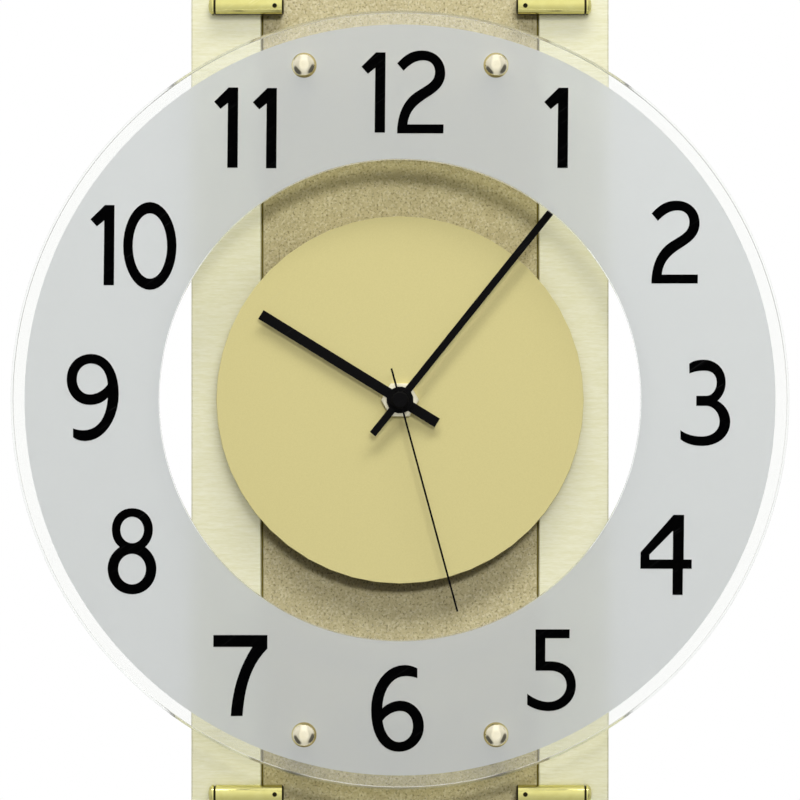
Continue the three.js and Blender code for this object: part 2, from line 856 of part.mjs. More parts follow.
/** The rear bearing plate, which the arbors run in. Its tongue reaches the post between the coils. */
function bearingPlate() {
  const coilBottom = coilCentreY - coilRadius - bobbinFlange / 2;
  const sheet = rectangle({
    left: fitGap - worksHalf,
    bottom: worksBottom + fitGap,
    right: worksHalf - fitGap,
    top: coilBottom - 2 * fitGap,
    radius: postRadius,
  });
  const tongue = rectangle({
    left: -postRadius,
    bottom: 0,
    right: postRadius,
    top: middlePostY + postRadius,
  });
  const holes = [[0, 0], ...arborPlaces].map(([x, y]) =>
    rod(shaftRadius + fitGap, plateBack - overshoot, plateFront + overshoot, x, y),
  );
  return cut(
    join(slab(sheet, plateBack, plateFront), slab(tongue, plateBack, plateFront)),
    ...holes,
  );
}

/** The phase of a driven gear that meshes with its driver, which sends it in a direction. */
function meshedPhase(drivenTeeth, driverTeeth, driverPhase, direction) {
  const offset = Math.PI - driverTeeth * (driverPhase - direction);
  return direction + Math.PI + offset / drivenTeeth;
}

/** The outline of a spur gear whose flanks follow the involute, with one tooth at its phase. */
function gearOutline({ teeth, module, phase, addendum, dedendum, flankRadii }) {
  const pitchRadius = (teeth * module) / 2;
  const baseRadius = pitchRadius * Math.cos(pressureAngle);
  const tipRadius = pitchRadius + addendum * module;
  const rootRadius = pitchRadius - dedendum * module;
  const involute = (radius) => {
    const angle = Math.acos(Math.min(1, baseRadius / radius));
    return Math.tan(angle) - angle;
  };
  const halfPitchTooth = Math.PI / (2 * teeth) - toothThinning / (2 * pitchRadius);
  const halfTooth = (radius) => halfPitchTooth + involute(pitchRadius) - involute(radius);
  const rise = Array.from({ length: flankRadii }, (_, i) =>
    THREE.MathUtils.lerp(rootRadius, tipRadius, i / (flankRadii - 1)),
  );
  return Array.from({ length: teeth }, (_, tooth) => {
    const middle = phase + (2 * Math.PI * tooth) / teeth;
    const flank = (side) => (radius) => {
      const turn = middle + side * halfTooth(radius);
      return new THREE.Vector2(radius * Math.cos(turn), radius * Math.sin(turn));
    };
    return [...rise.map(flank(-1)), ...rise.toReversed().map(flank(1))];
  }).flat();
}

/** A wheel in its layer. */
function wheel(teeth, module, phase, layer) {
  const outline = gearOutline({
    teeth,
    module,
    phase,
    addendum: wheelAddendum,
    dedendum: wheelDedendum,
    flankRadii: 2,
  });
  return slab(outline, layerBack(layer), layerBack(layer) + wheelThickness);
}

/** A pinion that reaches across a layer, from the depth given or from a little behind the layer. */
function pinion(teeth, module, phase, layer, back = layerBack(layer) - pinionOverlap) {
  const outline = gearOutline({
    teeth,
    module,
    phase,
    addendum: pinionAddendum,
    dedendum: pinionDedendum,
    flankRadii: 3,
  });
  return slab(outline, back, layerBack(layer) + wheelThickness + pinionOverlap);
}

/** Hour wheel with its tube, minute wheel with its arbor and cannon pinion, and motion wheel. */
function motionWork() {
  const upward = Math.PI / 2;
  const motionPhase = meshedPhase(motionTeeth, cannonTeeth, 0, upward);
  const hourPhase = meshedPhase(hourTeeth, pinionTeeth, motionPhase, -upward);
  const hourBack = layerBack(hourLayer);
  const hourEnd = hourHubBack + hubHeight;
  const hour = cut(
    join(
      wheel(hourTeeth, coarseModule, hourPhase, hourLayer),
      rod(hourTubeRadius + hourCollar, hourBack, worksFront - fitGap),
      rod(hourTubeRadius, hourBack, hourEnd),
    ),
    rod(hourBore, hourBack - overshoot, hourEnd + overshoot),
  );
  const minuteBack = layerBack(minuteLayer);
  const minuteEnd = minuteHubBack + hubHeight;
  const minute = cut(
    join(
      wheel(handWheelTeeth, fineModule, 0, minuteLayer),
      pinion(cannonTeeth, coarseModule, 0, motionLayer),
      rod(minuteArborRadius, minuteBack, minuteEnd),
    ),
    rod(minuteBore, minuteBack - overshoot, minuteEnd + overshoot),
  );
  const motionFront = layerBack(motionLayer) + wheelThickness;
  const motion = join(
    wheel(motionTeeth, coarseModule, motionPhase, motionLayer),
    pinion(pinionTeeth, coarseModule, motionPhase, hourLayer, motionFront - lap),
    rod(shaftRadius, arborBack, arborFront),
  ).translate([0, coarseCentre, 0]);
  return [
    piece("hour_wheel", hour, "whitePlastic"),
    piece("minute_wheel", minute, "whitePlastic"),
    piece("motion_wheel", motion, "whitePlastic"),
  ];
}

/** The second wheel with its shaft. */
function secondWheel() {
  const back = layerBack(secondLayer);
  const front = back + wheelThickness;
  const solid = join(
    wheel(handWheelTeeth, fineModule, 0, secondLayer),
    rod(minuteArborRadius, back - wheelSpacing / 2, front + wheelSpacing / 2),
    rod(shaftRadius, arborBack, secondShaftEnd),
  );
  return piece("second_wheel", solid, "whitePlastic");
}

/** Idler and rotor of one motor train. Its side is 1 on the right and -1 on the left. */
function motorTrain({ label, side, wheelLayer, idlerLayer, magnetMiddle }) {
  const towardsIdler = side > 0 ? idlerDirection : Math.PI - idlerDirection;
  const towardsRotor = side > 0 ? rotorDirection : Math.PI - rotorDirection;
  const idlerPhase = meshedPhase(pinionTeeth, handWheelTeeth, 0, towardsIdler);
  const rotorPhase = meshedPhase(pinionTeeth, idlerTeeth, idlerPhase, towardsRotor);
  const idlerFront = layerBack(idlerLayer) + wheelThickness;
  const arbor = rod(shaftRadius, arborBack, arborFront);
  const idler = join(
    wheel(idlerTeeth, fineModule, idlerPhase, idlerLayer),
    pinion(pinionTeeth, fineModule, idlerPhase, wheelLayer, idlerFront - lap),
    arbor,
  ).translate([side * idlerX, idlerY, 0]);
  const magnet = rod(
    magnetRadius,
    magnetMiddle - magnetLength / 2,
    magnetMiddle + magnetLength / 2,
  );
  const rotor = join(
    pinion(pinionTeeth, fineModule, rotorPhase, idlerLayer),
    magnet,
    arbor,
  ).translate([side * rotorX, rotorY, 0]);
  return [
    piece(`${label}_idler`, idler, "whitePlastic"),
    piece(`${label}_rotor`, rotor, "ferrite"),
  ];
}

/** A stator arm from the rotor to a core post, with a knee that keeps it clear of the bobbin. */
function statorArmTo(x, y, back, front) {
  const kneeY = y - coilRadius - bobbinFlange - statorArm;
  const along = new THREE.Vector2(x - rotorX, kneeY - rotorY);
  const reach = { left: 0, bottom: -statorArm / 2, right: along.length(), top: statorArm / 2 };
  const turn = THREE.MathUtils.radToDeg(along.angle());
  return join(
    slab(rectangle(reach), back, front).rotate([0, 0, turn]).translate([rotorX, rotorY, 0]),
    slab(centred(x, (kneeY + y) / 2, statorArm, y - kneeY), back, front),
    rod(statorArm / 2, back, front, x, kneeY),
    rod(statorArm / 2, back, front, x, y),
  );
}

/** Stator and coil of one motor, drawn on the right and mirrored where the motor is on the left. */
function motor({ label, side, statorBack }) {
  const statorFront = statorBack + statorThickness;
  const pole = cut(
    join(
      rod(statorRing, statorBack, statorFront, rotorX, rotorY),
      ...corePosts(1).map(([x, y]) => statorArmTo(x, y, statorBack, statorFront)),
    ),
    rod(
      magnetRadius + airGap,
      statorBack - overshoot,
      statorFront + overshoot,
      rotorX,
      rotorY,
    ),
  );
  const left = coilCentreX - coilLength / 2;
  const right = coilCentreX + coilLength / 2;
  const flangeRadius = coilRadius + bobbinFlange / 2;
  const winding = turnedAcross(
    [
      [0, left],
      [flangeRadius, left],
      [flangeRadius, left + bobbinFlange],
      [coilRadius, left + bobbinFlange],
      [coilRadius, right - bobbinFlange],
      [flangeRadius, right - bobbinFlange],
      [flangeRadius, right],
      [0, right],
    ],
    coilCentreY,
    (coreBack + coreFront) / 2,
  );
  const core = slab(
    centred(coilCentreX, coilCentreY, coreLength, coreWidth),
    coreBack,
    coreFront,
  );
  const onSide = (solid) => (side > 0 ? solid : solid.mirror([1, 0, 0]));
  return [
    piece(`${label}_stator`, onSide(pole), "steel"),
    piece(`${label}_coil`, onSide(join(winding, core)), "copper"),
  ];
}

/** Circuit board, ferrite rod and its winding. */
function radio() {
  const card = slab(
    centred(0, cardBottom + cardHeight / 2, 2 * (worksHalf - fitGap), cardHeight),
    cardBack,
    cardFront,
  );
  const winding = cut(
    antennaBar(antennaCoilRadius, antennaCoilLength),
    antennaBar(antennaRadius + fitGap, antennaCoilLength + 2 * overshoot),
  );
  return [
    piece("circuit_board", card, "circuitGreen"),
    piece("antenna_rod", antennaBar(antennaRadius, antennaLength), "ferrite"),
    piece("antenna_coil", winding, "copper"),
  ];
}

/** The battery spring's centre line: a helix that narrows from the wall to the battery. */
class ConicalHelix extends THREE.Curve {
  constructor(start, end) {
    super();
    this.start = start;
    this.end = end;
  }

  getPoint(t, target = new THREE.Vector3()) {
    const radius = THREE.MathUtils.lerp(springOuterRadius, springInnerRadius, t);
    const turn = 2 * Math.PI * springTurns * t;
    return target.set(
      THREE.MathUtils.lerp(this.start, this.end, t),
      batteryY + radius * Math.cos(turn),
      batteryDepth + radius * Math.sin(turn),
    );
  }
}

/** The least gap between one turn of a wire and the next, measured on its points. */
function leastGap(points, stepsPerTurn, wire) {
  let least = Infinity;
  for (let i = 0; i < points.length; i += 1) {
    for (let j = i + stepsPerTurn / 2; j < points.length; j += 1) {
      least = Math.min(least, points[i].distanceTo(points[j]) - wire);
    }
  }
  return least;
}

/** The negative contact: one unbroken coil of wire. */
function contactSpring(wallX, batteryX) {
  const stepsPerTurn = 8;
  const wireSides = 5;
  const steps = springTurns * stepsPerTurn;
  const clearance = springWire / 2 + restGap;
  const helix = new ConicalHelix(wallX + clearance, batteryX - clearance);
  const section = new THREE.Shape(circle(springWire / 2, 0, 0, wireSides));
  const geometry = new THREE.ExtrudeGeometry(section, { steps, extrudePath: helix });
  const gap = leastGap(helix.getPoints(steps), stepsPerTurn, springWire);
  console.log(`contact spring: ${springTurns} turns, least gap ${gap.toFixed(2)} mm`);
  return piece("contact_spring", solidOf(geometry), "steel");
}

/** The battery with its contact plate and its spring. */
function power() {
  const plateX = bayHalf - contactThickness;
  const canEnd = plateX - terminalLength;
  const canStart = plateX - batteryLength;
  const battery = turnedAcross(
    [
      [0, canStart],
      [batteryRadius - canEdge, canStart],
      [batteryRadius, canStart + canEdge],
      [batteryRadius, canEnd - canEdge],
      [batteryRadius - canEdge, canEnd],
      [terminalRadius, canEnd],
      [terminalRadius, plateX],
      [0, plateX],
    ],
    batteryY,
    batteryDepth,
  );
  const contact = new THREE.BoxGeometry(contactThickness, contactWidth, contactDepth);
  contact.translate(bayHalf - contactThickness / 2, batteryY, batteryDepth);
  return [
    piece("battery", battery, "batteryWrap"),
    piece("contact_plate", solidOf(contact), "steel"),
    contactSpring(-bayHalf, canStart),
  ];
}

/** A countersunk screw of the hanger, or with a gap the drill that makes room for it. */
function hangerScrew(side, gap = 0) {
  const back = gap > 0 ? -overshoot : screwSink;
  const head = hangerScrewHead + gap;
  const shank = hangerScrewShank + gap;
  return turned(
    [
      [0, back],
      [head, back],
      [head, screwSink + restGap],
      [shank, hangerThickness],
      [shank, hangerScrewLength - hangerScrewTip],
      [0, hangerScrewLength],
    ],
    side * hangerScrewX,
    hangerCentreY,
  );
}

/** The keyhole hanger plate, with its origin above the slot. */
function hangerPlate() {
  const sheet = slab(
    centred(0, hangerCentreY, hangerWidth, hangerHeight, hangerCorner),
    0,
    hangerThickness,
  );
  const behind = -overshoot;
  const before = hangerThickness + overshoot;
  return cut(
    sheet,
    rod(keyholeRadius, behind, before, 0, hangerCentreY - keySlotRise / 2),
    rod(keySlotRadius, behind, before, 0, hangerCentreY + keySlotRise / 2),
    slab(centred(0, hangerCentreY, 2 * keySlotRadius, keySlotRise), behind, before),
    hangerScrew(-1, fitGap),
    hangerScrew(1, fitGap),
  );
}

/** The hanger plate with its screws, and the two bumpers at the foot. */
function wallFittings() {
  const bumper = (side) => rod(bumperRadius, 0, boardBack, side * bumperX, -bumperY);
  return [
    piece("hanger_plate", hangerPlate(), "steel"),
    piece("hanger_screw_left", hangerScrew(-1), "steel"),
    piece("hanger_screw_right", hangerScrew(1), "steel"),
    piece("bumper_left", bumper(-1), "rubber"),
    piece("bumper_right", bumper(1), "rubber"),
  ];
}

const clock = new THREE.Group();
clock.rotation.x = Math.PI / 2;
clock.position.z = originInset - hangerCentreY - hangerHeight / 2;
clock.add(
  backBoard(),
  stoneStrip(),
  sidePanel("left_panel", -1),
  sidePanel("right_panel", 1),
  ...corners.map(([name, sx, sy]) => bar(`bar_${name}`, sx, sy)),
  glassRing(),
  ...corners.flatMap(([name, sx, sy]) => ringFixing(name, sx, sy)),
  ...dialStack(),
  ...hands(),
  piece("movement_case", movementCase(), "blackPlastic"),
  piece("movement_cover", movementCover(), "greyPlastic"),
  piece("bearing_plate", bearingPlate(), "whitePlastic"),
  ...motionWork(),
  secondWheel(),
  ...motorTrain({
    label: "minute",
    side: 1,
    wheelLayer: minuteLayer,
    idlerLayer: minuteIdlerLayer,
    magnetMiddle: coreBack - statorThickness / 2,
  }),
  ...motorTrain({
    label: "second",
    side: -1,
    wheelLayer: secondLayer,
    idlerLayer: secondIdlerLayer,
    magnetMiddle: coreFront + statorThickness / 2,
  }),
  ...motor({ label: "minute", side: 1, statorBack: coreBack - statorThickness }),
  ...motor({ label: "second", side: -1, statorBack: coreFront }),
  ...radio(),
  ...buttonPlaces.map(([name, x]) => button(name, x)),
  ...power(),
  ...wallFittings(),
);

const part = new THREE.Group();
part.add(clock);

export default part;
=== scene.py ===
"""Radio-controlled wall clock: finishes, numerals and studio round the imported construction.

The frame gives every solid at its real place. This file dresses them: it rounds their edges,
turns the glass ring, the cap nuts and the coils anew in finer form, prints the numerals, and
gives each piece a finish made of nodes. Lengths are in metres unless a name or a line says
otherwise.
"""

import json
import logging
import math
from contextlib import contextmanager
from dataclasses import dataclass
from enum import Enum
from functools import cache
from typing import Callable, Iterator

import bmesh
import bpy
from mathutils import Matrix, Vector

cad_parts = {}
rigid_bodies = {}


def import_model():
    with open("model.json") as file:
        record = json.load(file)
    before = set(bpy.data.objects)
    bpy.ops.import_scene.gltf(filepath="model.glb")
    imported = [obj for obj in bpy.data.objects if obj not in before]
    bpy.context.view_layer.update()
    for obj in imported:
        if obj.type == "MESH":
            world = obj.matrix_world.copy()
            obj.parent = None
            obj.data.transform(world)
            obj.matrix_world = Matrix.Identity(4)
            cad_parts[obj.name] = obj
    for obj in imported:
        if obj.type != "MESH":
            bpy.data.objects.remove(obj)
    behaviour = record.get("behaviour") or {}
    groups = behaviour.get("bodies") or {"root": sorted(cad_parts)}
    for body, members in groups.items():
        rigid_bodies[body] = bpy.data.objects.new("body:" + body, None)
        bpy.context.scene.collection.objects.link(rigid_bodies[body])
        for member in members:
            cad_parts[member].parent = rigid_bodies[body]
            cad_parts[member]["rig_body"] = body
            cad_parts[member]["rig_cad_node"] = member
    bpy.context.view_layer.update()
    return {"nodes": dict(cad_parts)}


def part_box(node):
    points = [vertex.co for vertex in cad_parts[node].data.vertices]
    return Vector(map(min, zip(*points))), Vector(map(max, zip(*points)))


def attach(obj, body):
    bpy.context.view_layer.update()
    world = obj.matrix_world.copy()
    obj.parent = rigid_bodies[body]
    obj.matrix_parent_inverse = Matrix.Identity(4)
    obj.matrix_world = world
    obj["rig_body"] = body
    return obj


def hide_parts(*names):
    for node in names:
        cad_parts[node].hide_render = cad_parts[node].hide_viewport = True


HOUSING = "housing"
MM = 0.001
MERGE_GAP = 0.001 * MM
FILM_MERGE_GAP = 0.0001 * MM
FULL_TURN = 2 * math.pi

Colour = tuple[float, float, float, float]
Triple = tuple[float, float, float]
Span = tuple[float, float]
Loop = tuple[tuple[float, ...], ...]
Piece = bpy.types.Object
Material = bpy.types.Material
Tree = bpy.types.NodeTree
Node = bpy.types.Node
Socket = bpy.types.NodeSocket
PointTest = Callable[[Vector], bool]

WHITE: Colour = (1.0, 1.0, 1.0, 1.0)

log = logging.getLogger("wall_clock")


def shade(red: int, green: int, blue: int) -> Colour:
    """Turns a colour as seen on a screen into the linear colour that a shader reads.

    Args:
        red: Red, from 0 to 255.
        green: Green, from 0 to 255.
        blue: Blue, from 0 to 255.

    Returns:
        The linear colour, with full cover.
    """

    def linear(value: int) -> float:
        """Returns one channel on the linear scale, by the sRGB curve."""
        share = value / 255
        return share / 12.92 if share <= 0.04045 else ((share + 0.055) / 1.055) ** 2.4

    return (linear(red), linear(green), linear(blue), 1.0)


class Heading(Enum):
    """The way that a turned piece points, with the turn which brings a primitive there."""

    ACROSS = ((0.0, math.pi / 2, 0.0), (1.0, 0.0, 0.0))
    FORWARD = ((math.pi / 2, 0.0, 0.0), (0.0, -1.0, 0.0))

    @property
    def turn(self) -> Triple:
        """Returns the turn of the primitive."""
        return self.value[0]

    @property
    def way(self) -> Vector:
        """Returns the direction that the piece points in."""
        return Vector(self.value[1])


class Cut(Enum):
    """What an edit picks: whole faces, or the edges between them."""

    FACES = "FACE"
    EDGES = "EDGE"


def pick_only(piece: Piece) -> None:
    """Makes one object the only selected and the active one.

    Args:
        piece: The object to select.
    """
    bpy.ops.object.select_all(action="DESELECT")
    piece.select_set(True)
    bpy.context.view_layer.objects.active = piece


@contextmanager
def editing(piece: Piece, cut: Cut = Cut.EDGES) -> Iterator[None]:
    """Opens a piece in edit mode with nothing picked, and closes it at the end.

    Args:
        piece: The mesh object to edit.
        cut: Whether faces or edges will be picked.

    Yields:
        Nothing. The edit is open meanwhile.
    """
    pick_only(piece)
    bpy.ops.object.mode_set(mode="EDIT")
    bpy.ops.mesh.select_mode(type=cut.value)
    bpy.ops.mesh.select_all(action="DESELECT")
    yield
    bpy.ops.object.mode_set(mode="OBJECT")


def pick_edges(piece: Piece, test: PointTest) -> None:
    """Picks the edges whose both ends pass a test.

    Args:
        piece: The object that is open in edit mode.
        test: Says of a corner's place whether it belongs.
    """
    mesh = bmesh.from_edit_mesh(piece.data)
    for edge in mesh.edges:
        if all(test(corner.co) for corner in edge.verts):
            edge.select_set(True)
    bmesh.update_edit_mesh(piece.data)


def close_mesh(gap: float) -> None:
    """Merges the open edit's doubled corners and turns its faces outwards.

    Args:
        gap: How far apart corners may be and still be one.
    """
    bpy.ops.mesh.select_all(action="SELECT")
    bpy.ops.mesh.remove_doubles(threshold=gap)
    bpy.ops.mesh.normals_make_consistent(inside=False)


def settle(piece: Piece) -> None:
    """Moves an object's place and turn into its mesh, so that the object sits at the origin."""
    pick_only(piece)
    bpy.ops.object.transform_apply(location=True, rotation=True, scale=True)


def move_by(piece: Piece, way: Vector) -> None:
    """Moves a piece's mesh and keeps its object at the origin."""
    piece.location = way
    settle(piece)


def smooth(piece: Piece, degrees: float = 40.0) -> None:
    """Shades a piece smooth, apart from edges sharper than an angle.

    Args:
        piece: The mesh object.
        degrees: The sharpest turn that still looks smooth.
    """
    pick_only(piece)
    bpy.ops.object.shade_smooth_by_angle(angle=math.radians(degrees))


def soften(piece: Piece, width: float) -> None:
    """Rounds every sharp edge of a piece by a small radius.

    Args:
        piece: The mesh object.
        width: The width of the rounding.
    """
    sharp = 35.0
    smooth(piece, sharp)
    rounding = piece.modifiers.new("rounding", "BEVEL")
    rounding.width = width
    rounding.segments = 2
    rounding.harden_normals = True
    rounding.limit_method = "ANGLE"
    rounding.angle_limit = math.radians(sharp)
    bpy.ops.object.modifier_apply(modifier=rounding.name)


def started(name: str, add: Callable[..., set[str]], scale: Triple = (1, 1, 1), **how: object) -> Piece:
    """Adds a primitive with nothing else selected, as the start of a piece.

    Args:
        name: The new object's name.
        add: The operator that adds the primitive.
        scale: How the primitive is stretched.
        how: The operator's own settings.

    Returns:
        The primitive, with its place in its mesh.
    """
    bpy.ops.object.select_all(action="DESELECT")
    add(**how)
    piece = bpy.context.active_object
    piece.name = name
    piece.scale = scale
    settle(piece)
    return piece


def turned(
    name: str, radius: float, start: Vector, length: float, heading: Heading, sides: int = 64
) -> Piece:
    """Makes a plain turned blank, which the caller then shapes.

    Args:
        name: The new object's name.
        radius: The blank's radius.
        start: The middle of its first end.
        length: Its length along the heading.
        heading: The way that it points.
        sides: How many faces go round it.

    Returns:
        The blank, with its place in its mesh.
    """
    return started(
        name,
        bpy.ops.mesh.primitive_cylinder_add,
        vertices=sides,
        radius=radius,
        depth=length,
        location=start + heading.way * length / 2,
        rotation=heading.turn,
    )


def united(name: str, pieces: list[Piece]) -> Piece:
    """Joins pieces into one object.

    Args:
        name: The name of the result.
        pieces: The objects, of which the first one stays.

    Returns:
        The joined object.
    """
    pick_only(pieces[0])
    for piece in pieces:
        piece.select_set(True)
    bpy.ops.object.join()
    pieces[0].name = name
    return pieces[0]


def flat_shape(name: str, loops: list[Loop], thickness: float, fineness: int) -> Piece:
    """Cuts a flat shape from closed outlines and turns it to face forward.

    Args:
        name: The new object's name.
        loops: Outlines in millimetres. A pair of numbers is a straight run to that point, and
            six are a curve to the last pair by way of the first two.
        thickness: The shape's thickness.
        fineness: Steps in each curved run.

    Returns:
        The shape as a mesh round the origin, with its back at y 0.
    """
    outline = bpy.data.curves.new(name, "CURVE")
    outline.dimensions = "2D"
    outline.fill_mode = "BOTH"
    outline.resolution_u = fineness
    outline.extrude = thickness / 2
    same_point = 0.001
    for loop in loops:
        anchors = [[loop[0], loop[0], loop[0]]]
        for run in loop[1:]:
            if len(run) == 2:
                anchors.append([run, run, run])
            else:
                anchors[-1][2] = run[0:2]
                anchors.append([run[4:6], run[2:4], run[4:6]])
        first, last = anchors[0], anchors[-1]
        if math.dist(first[0], last[0]) < same_point:
            first[1] = last[1]
            anchors.pop()
        spline = outline.splines.new("BEZIER")
        spline.bezier_points.add(len(anchors) - 1)
        spline.use_cyclic_u = True
        for point, (at, before, after) in zip(spline.bezier_points, anchors):
            point.handle_left_type = "FREE"
            point.handle_right_type = "FREE"
            point.co = (at[0] * MM, at[1] * MM, 0)
            point.handle_left = (before[0] * MM, before[1] * MM, 0)
            point.handle_right = (after[0] * MM, after[1] * MM, 0)
    shape = bpy.data.objects.new(name, outline)
    bpy.context.scene.collection.objects.link(shape)
    pick_only(shape)
    bpy.ops.object.convert(target="MESH")
    shape = bpy.context.active_object
    shape.rotation_euler = Heading.FORWARD.turn
    move_by(shape, Vector((0, -thickness / 2, 0)))
    with editing(shape):
        close_mesh(FILM_MERGE_GAP)
    return shape


def round_loop(radius: float, centre: tuple[float, float] = (0.0, 0.0), squash: float = 1.0) -> Loop:
    """Returns the outline of a circle or an upright ellipse, in millimetres.

    Args:
        radius: Half its width.
        centre: Its middle.
        squash: Its height over its width.

    Returns:
        The outline, as four curved runs.
    """
    pull = 0.5523
    x, y = centre
    wide, tall = radius, radius * squash
    return (
        (x + wide, y),
        (x + wide, y + pull * tall, x + pull * wide, y + tall, x, y + tall),
        (x - pull * wide, y + tall, x - wide, y + pull * tall, x - wide, y),
        (x - wide, y - pull * tall, x - pull * wide, y - tall, x, y - tall),
        (x + pull * wide, y - tall, x + wide, y - pull * tall, x + wide, y),
    )


class Wiring:
    """Adds the nodes of one tree and links them."""

    def __init__(self, tree: Tree) -> None:
        """Keeps the tree that is wired."""
        self.tree = tree

    def add(self, kind: str, **settings: object) -> Node:
        """Adds a node.

        Args:
            kind: The node's type.
            settings: Values for its properties.

        Returns:
            The new node.
        """
        made = self.tree.nodes.new(kind)
        for key, value in settings.items():
            setattr(made, key, value)
        return made

    def link(self, source: Socket, target: Socket) -> None:
        """Links an output to an input."""
        self.tree.links.new(source, target)

    def feed(self, target: Socket, value: Socket | float | Triple | Colour) -> None:
        """Gives an input its value, by a link or as it stands.

        Args:
            target: The input.
            value: The output that it is linked to, or a plain value.
        """
        if isinstance(value, Socket):
            self.link(value, target)
        else:
            target.default_value = value

    def noise(
        self, vector: Socket, scale: Socket | float, detail: float = 3.0, harshness: float = 0.5
    ) -> Socket:
        """Adds a noise over a vector.

        Args:
            vector: The coordinates that it reads.
            scale: Its features to the metre.
            detail: Its finer layers.
            harshness: How strong the finer layers are.

        Returns:
            Its value, around one half.
        """
        made = self.add("ShaderNodeTexNoise")
        self.link(vector, made.inputs["Vector"])
        self.feed(made.inputs["Scale"], scale)
        made.inputs["Detail"].default_value = detail
        made.inputs["Roughness"].default_value = harshness
        return made.outputs["Fac"]

    def ramp(
        self, value: Socket, low: float, high: float, to_low: float = 0.0, to_high: float = 1.0
    ) -> Socket:
        """Maps a range of values on another, and holds it at both ends.

        Args:
            value: The value to map.
            low: The value that becomes to_low.
            high: The value that becomes to_high.
            to_low: The first result.
            to_high: The last result.

        Returns:
            The mapped value.
        """
        made = self.add("ShaderNodeMapRange", clamp=True)
        limits = {"From Min": low, "From Max": high, "To Min": to_low, "To Max": to_high}
        for name, number in limits.items():
            made.inputs[name].default_value = number
        self.link(value, made.inputs["Value"])
        return made.outputs["Result"]

    def reckon(self, operation: str, first: Socket, second: Socket | float) -> Socket:
        """Works out one number from two.

        Args:
            operation: The Math node's operation.
            first: The first number.
            second: The second, a socket or a plain number.

        Returns:
            The result.
        """
        made = self.add("ShaderNodeMath", operation=operation)
        self.link(first, made.inputs[0])
        self.feed(made.inputs[1], second)
        return made.outputs[0]

    def times(self, first: Socket, second: Socket | float) -> Socket:
        """Returns one number multiplied by another."""
        return self.reckon("MULTIPLY", first, second)

    def mean(self, first: Socket, second: Socket) -> Socket:
        """Returns the mean of two numbers."""
        return self.times(self.reckon("ADD", first, second), 0.5)

    def along(self, operation: str, vector: Socket, other: Triple = (0.0, 0.0, 0.0)) -> Socket:
        """Works on coordinates.

        Args:
            operation: The Vector Math node's operation.
            vector: The coordinates.
            other: The operation's second vector.

        Returns:
            The new coordinates, or the number where the operation gives one.
        """
        made = self.add("ShaderNodeVectorMath", operation=operation)
        self.link(vector, made.inputs[0])
        made.inputs[1].default_value = other
        gives_number = operation in ("LENGTH", "DOT_PRODUCT")
        return made.outputs["Value" if gives_number else "Vector"]

    def parts(self, vector: Socket) -> dict[str, Socket]:
        """Splits coordinates.

        Args:
            vector: The coordinates.

        Returns:
            Its three numbers, by their names X, Y and Z.
        """
        made = self.add("ShaderNodeSeparateXYZ")
        self.link(vector, made.inputs["Vector"])
        return dict(made.outputs.items())

    def length(self, vector: Socket, axes: Triple) -> Socket:
        """Measures how far coordinates lie from the origin along chosen axes.

        Args:
            vector: The coordinates.
            axes: A 1 for each axis that counts, and 0 for the others.

        Returns:
            The distance.
        """
        return self.along("LENGTH", self.along("MULTIPLY", vector, axes))

    def blend(self, share: Socket, first: Socket | Colour, second: Socket | Colour) -> Socket:
        """Mixes two colours.

        Args:
            share: How much of the second.
            first: The first colour.
            second: The second colour.

        Returns:
            The mixed colour.
        """
        made = self.add("ShaderNodeMix", data_type="RGBA", clamp_factor=True)
        self.link(share, made.inputs["Factor"])
        self.feed(made.inputs[6], first)
        self.feed(made.inputs[7], second)
        return made.outputs[2]

    def choose(self, share: Socket, first: Socket, second: Socket) -> Socket:
        """Mixes two shaders.

        Args:
            share: How much of the second.
            first: The first shader.
            second: The second shader.

        Returns:
            The mixed shader.
        """
        made = self.add("ShaderNodeMixShader")
        self.link(share, made.inputs["Fac"])
        self.link(first, made.inputs[1])
        self.link(second, made.inputs[2])
        return made.outputs["Shader"]

    def raise_relief(self, shader: Node, height: Socket, strength: float, depth: float) -> None:
        """Gives a shader a fine relief.

        Args:
            shader: The shader that gets it.
            height: The relief's height, from 0 to 1.
            strength: How much of it shows.
            depth: Its real depth.
        """
        bump = self.add("ShaderNodeBump")
        bump.inputs["Strength"].default_value = strength
        bump.inputs["Distance"].default_value = depth
        self.link(height, bump.inputs["Height"])
        self.link(bump.outputs["Normal"], shader.inputs["Normal"])


class Effect(Enum):
    """The surface effects that several finishes share, each one a node group."""

    FINE_GRAIN = "fine_grain"
    BRUSHED_LINES = "brushed_lines"
    HANDLING_MARKS = "handling_marks"
    SETTLED_DUST = "settled_dust"
    STONE_SPECKS = "stone_specks"


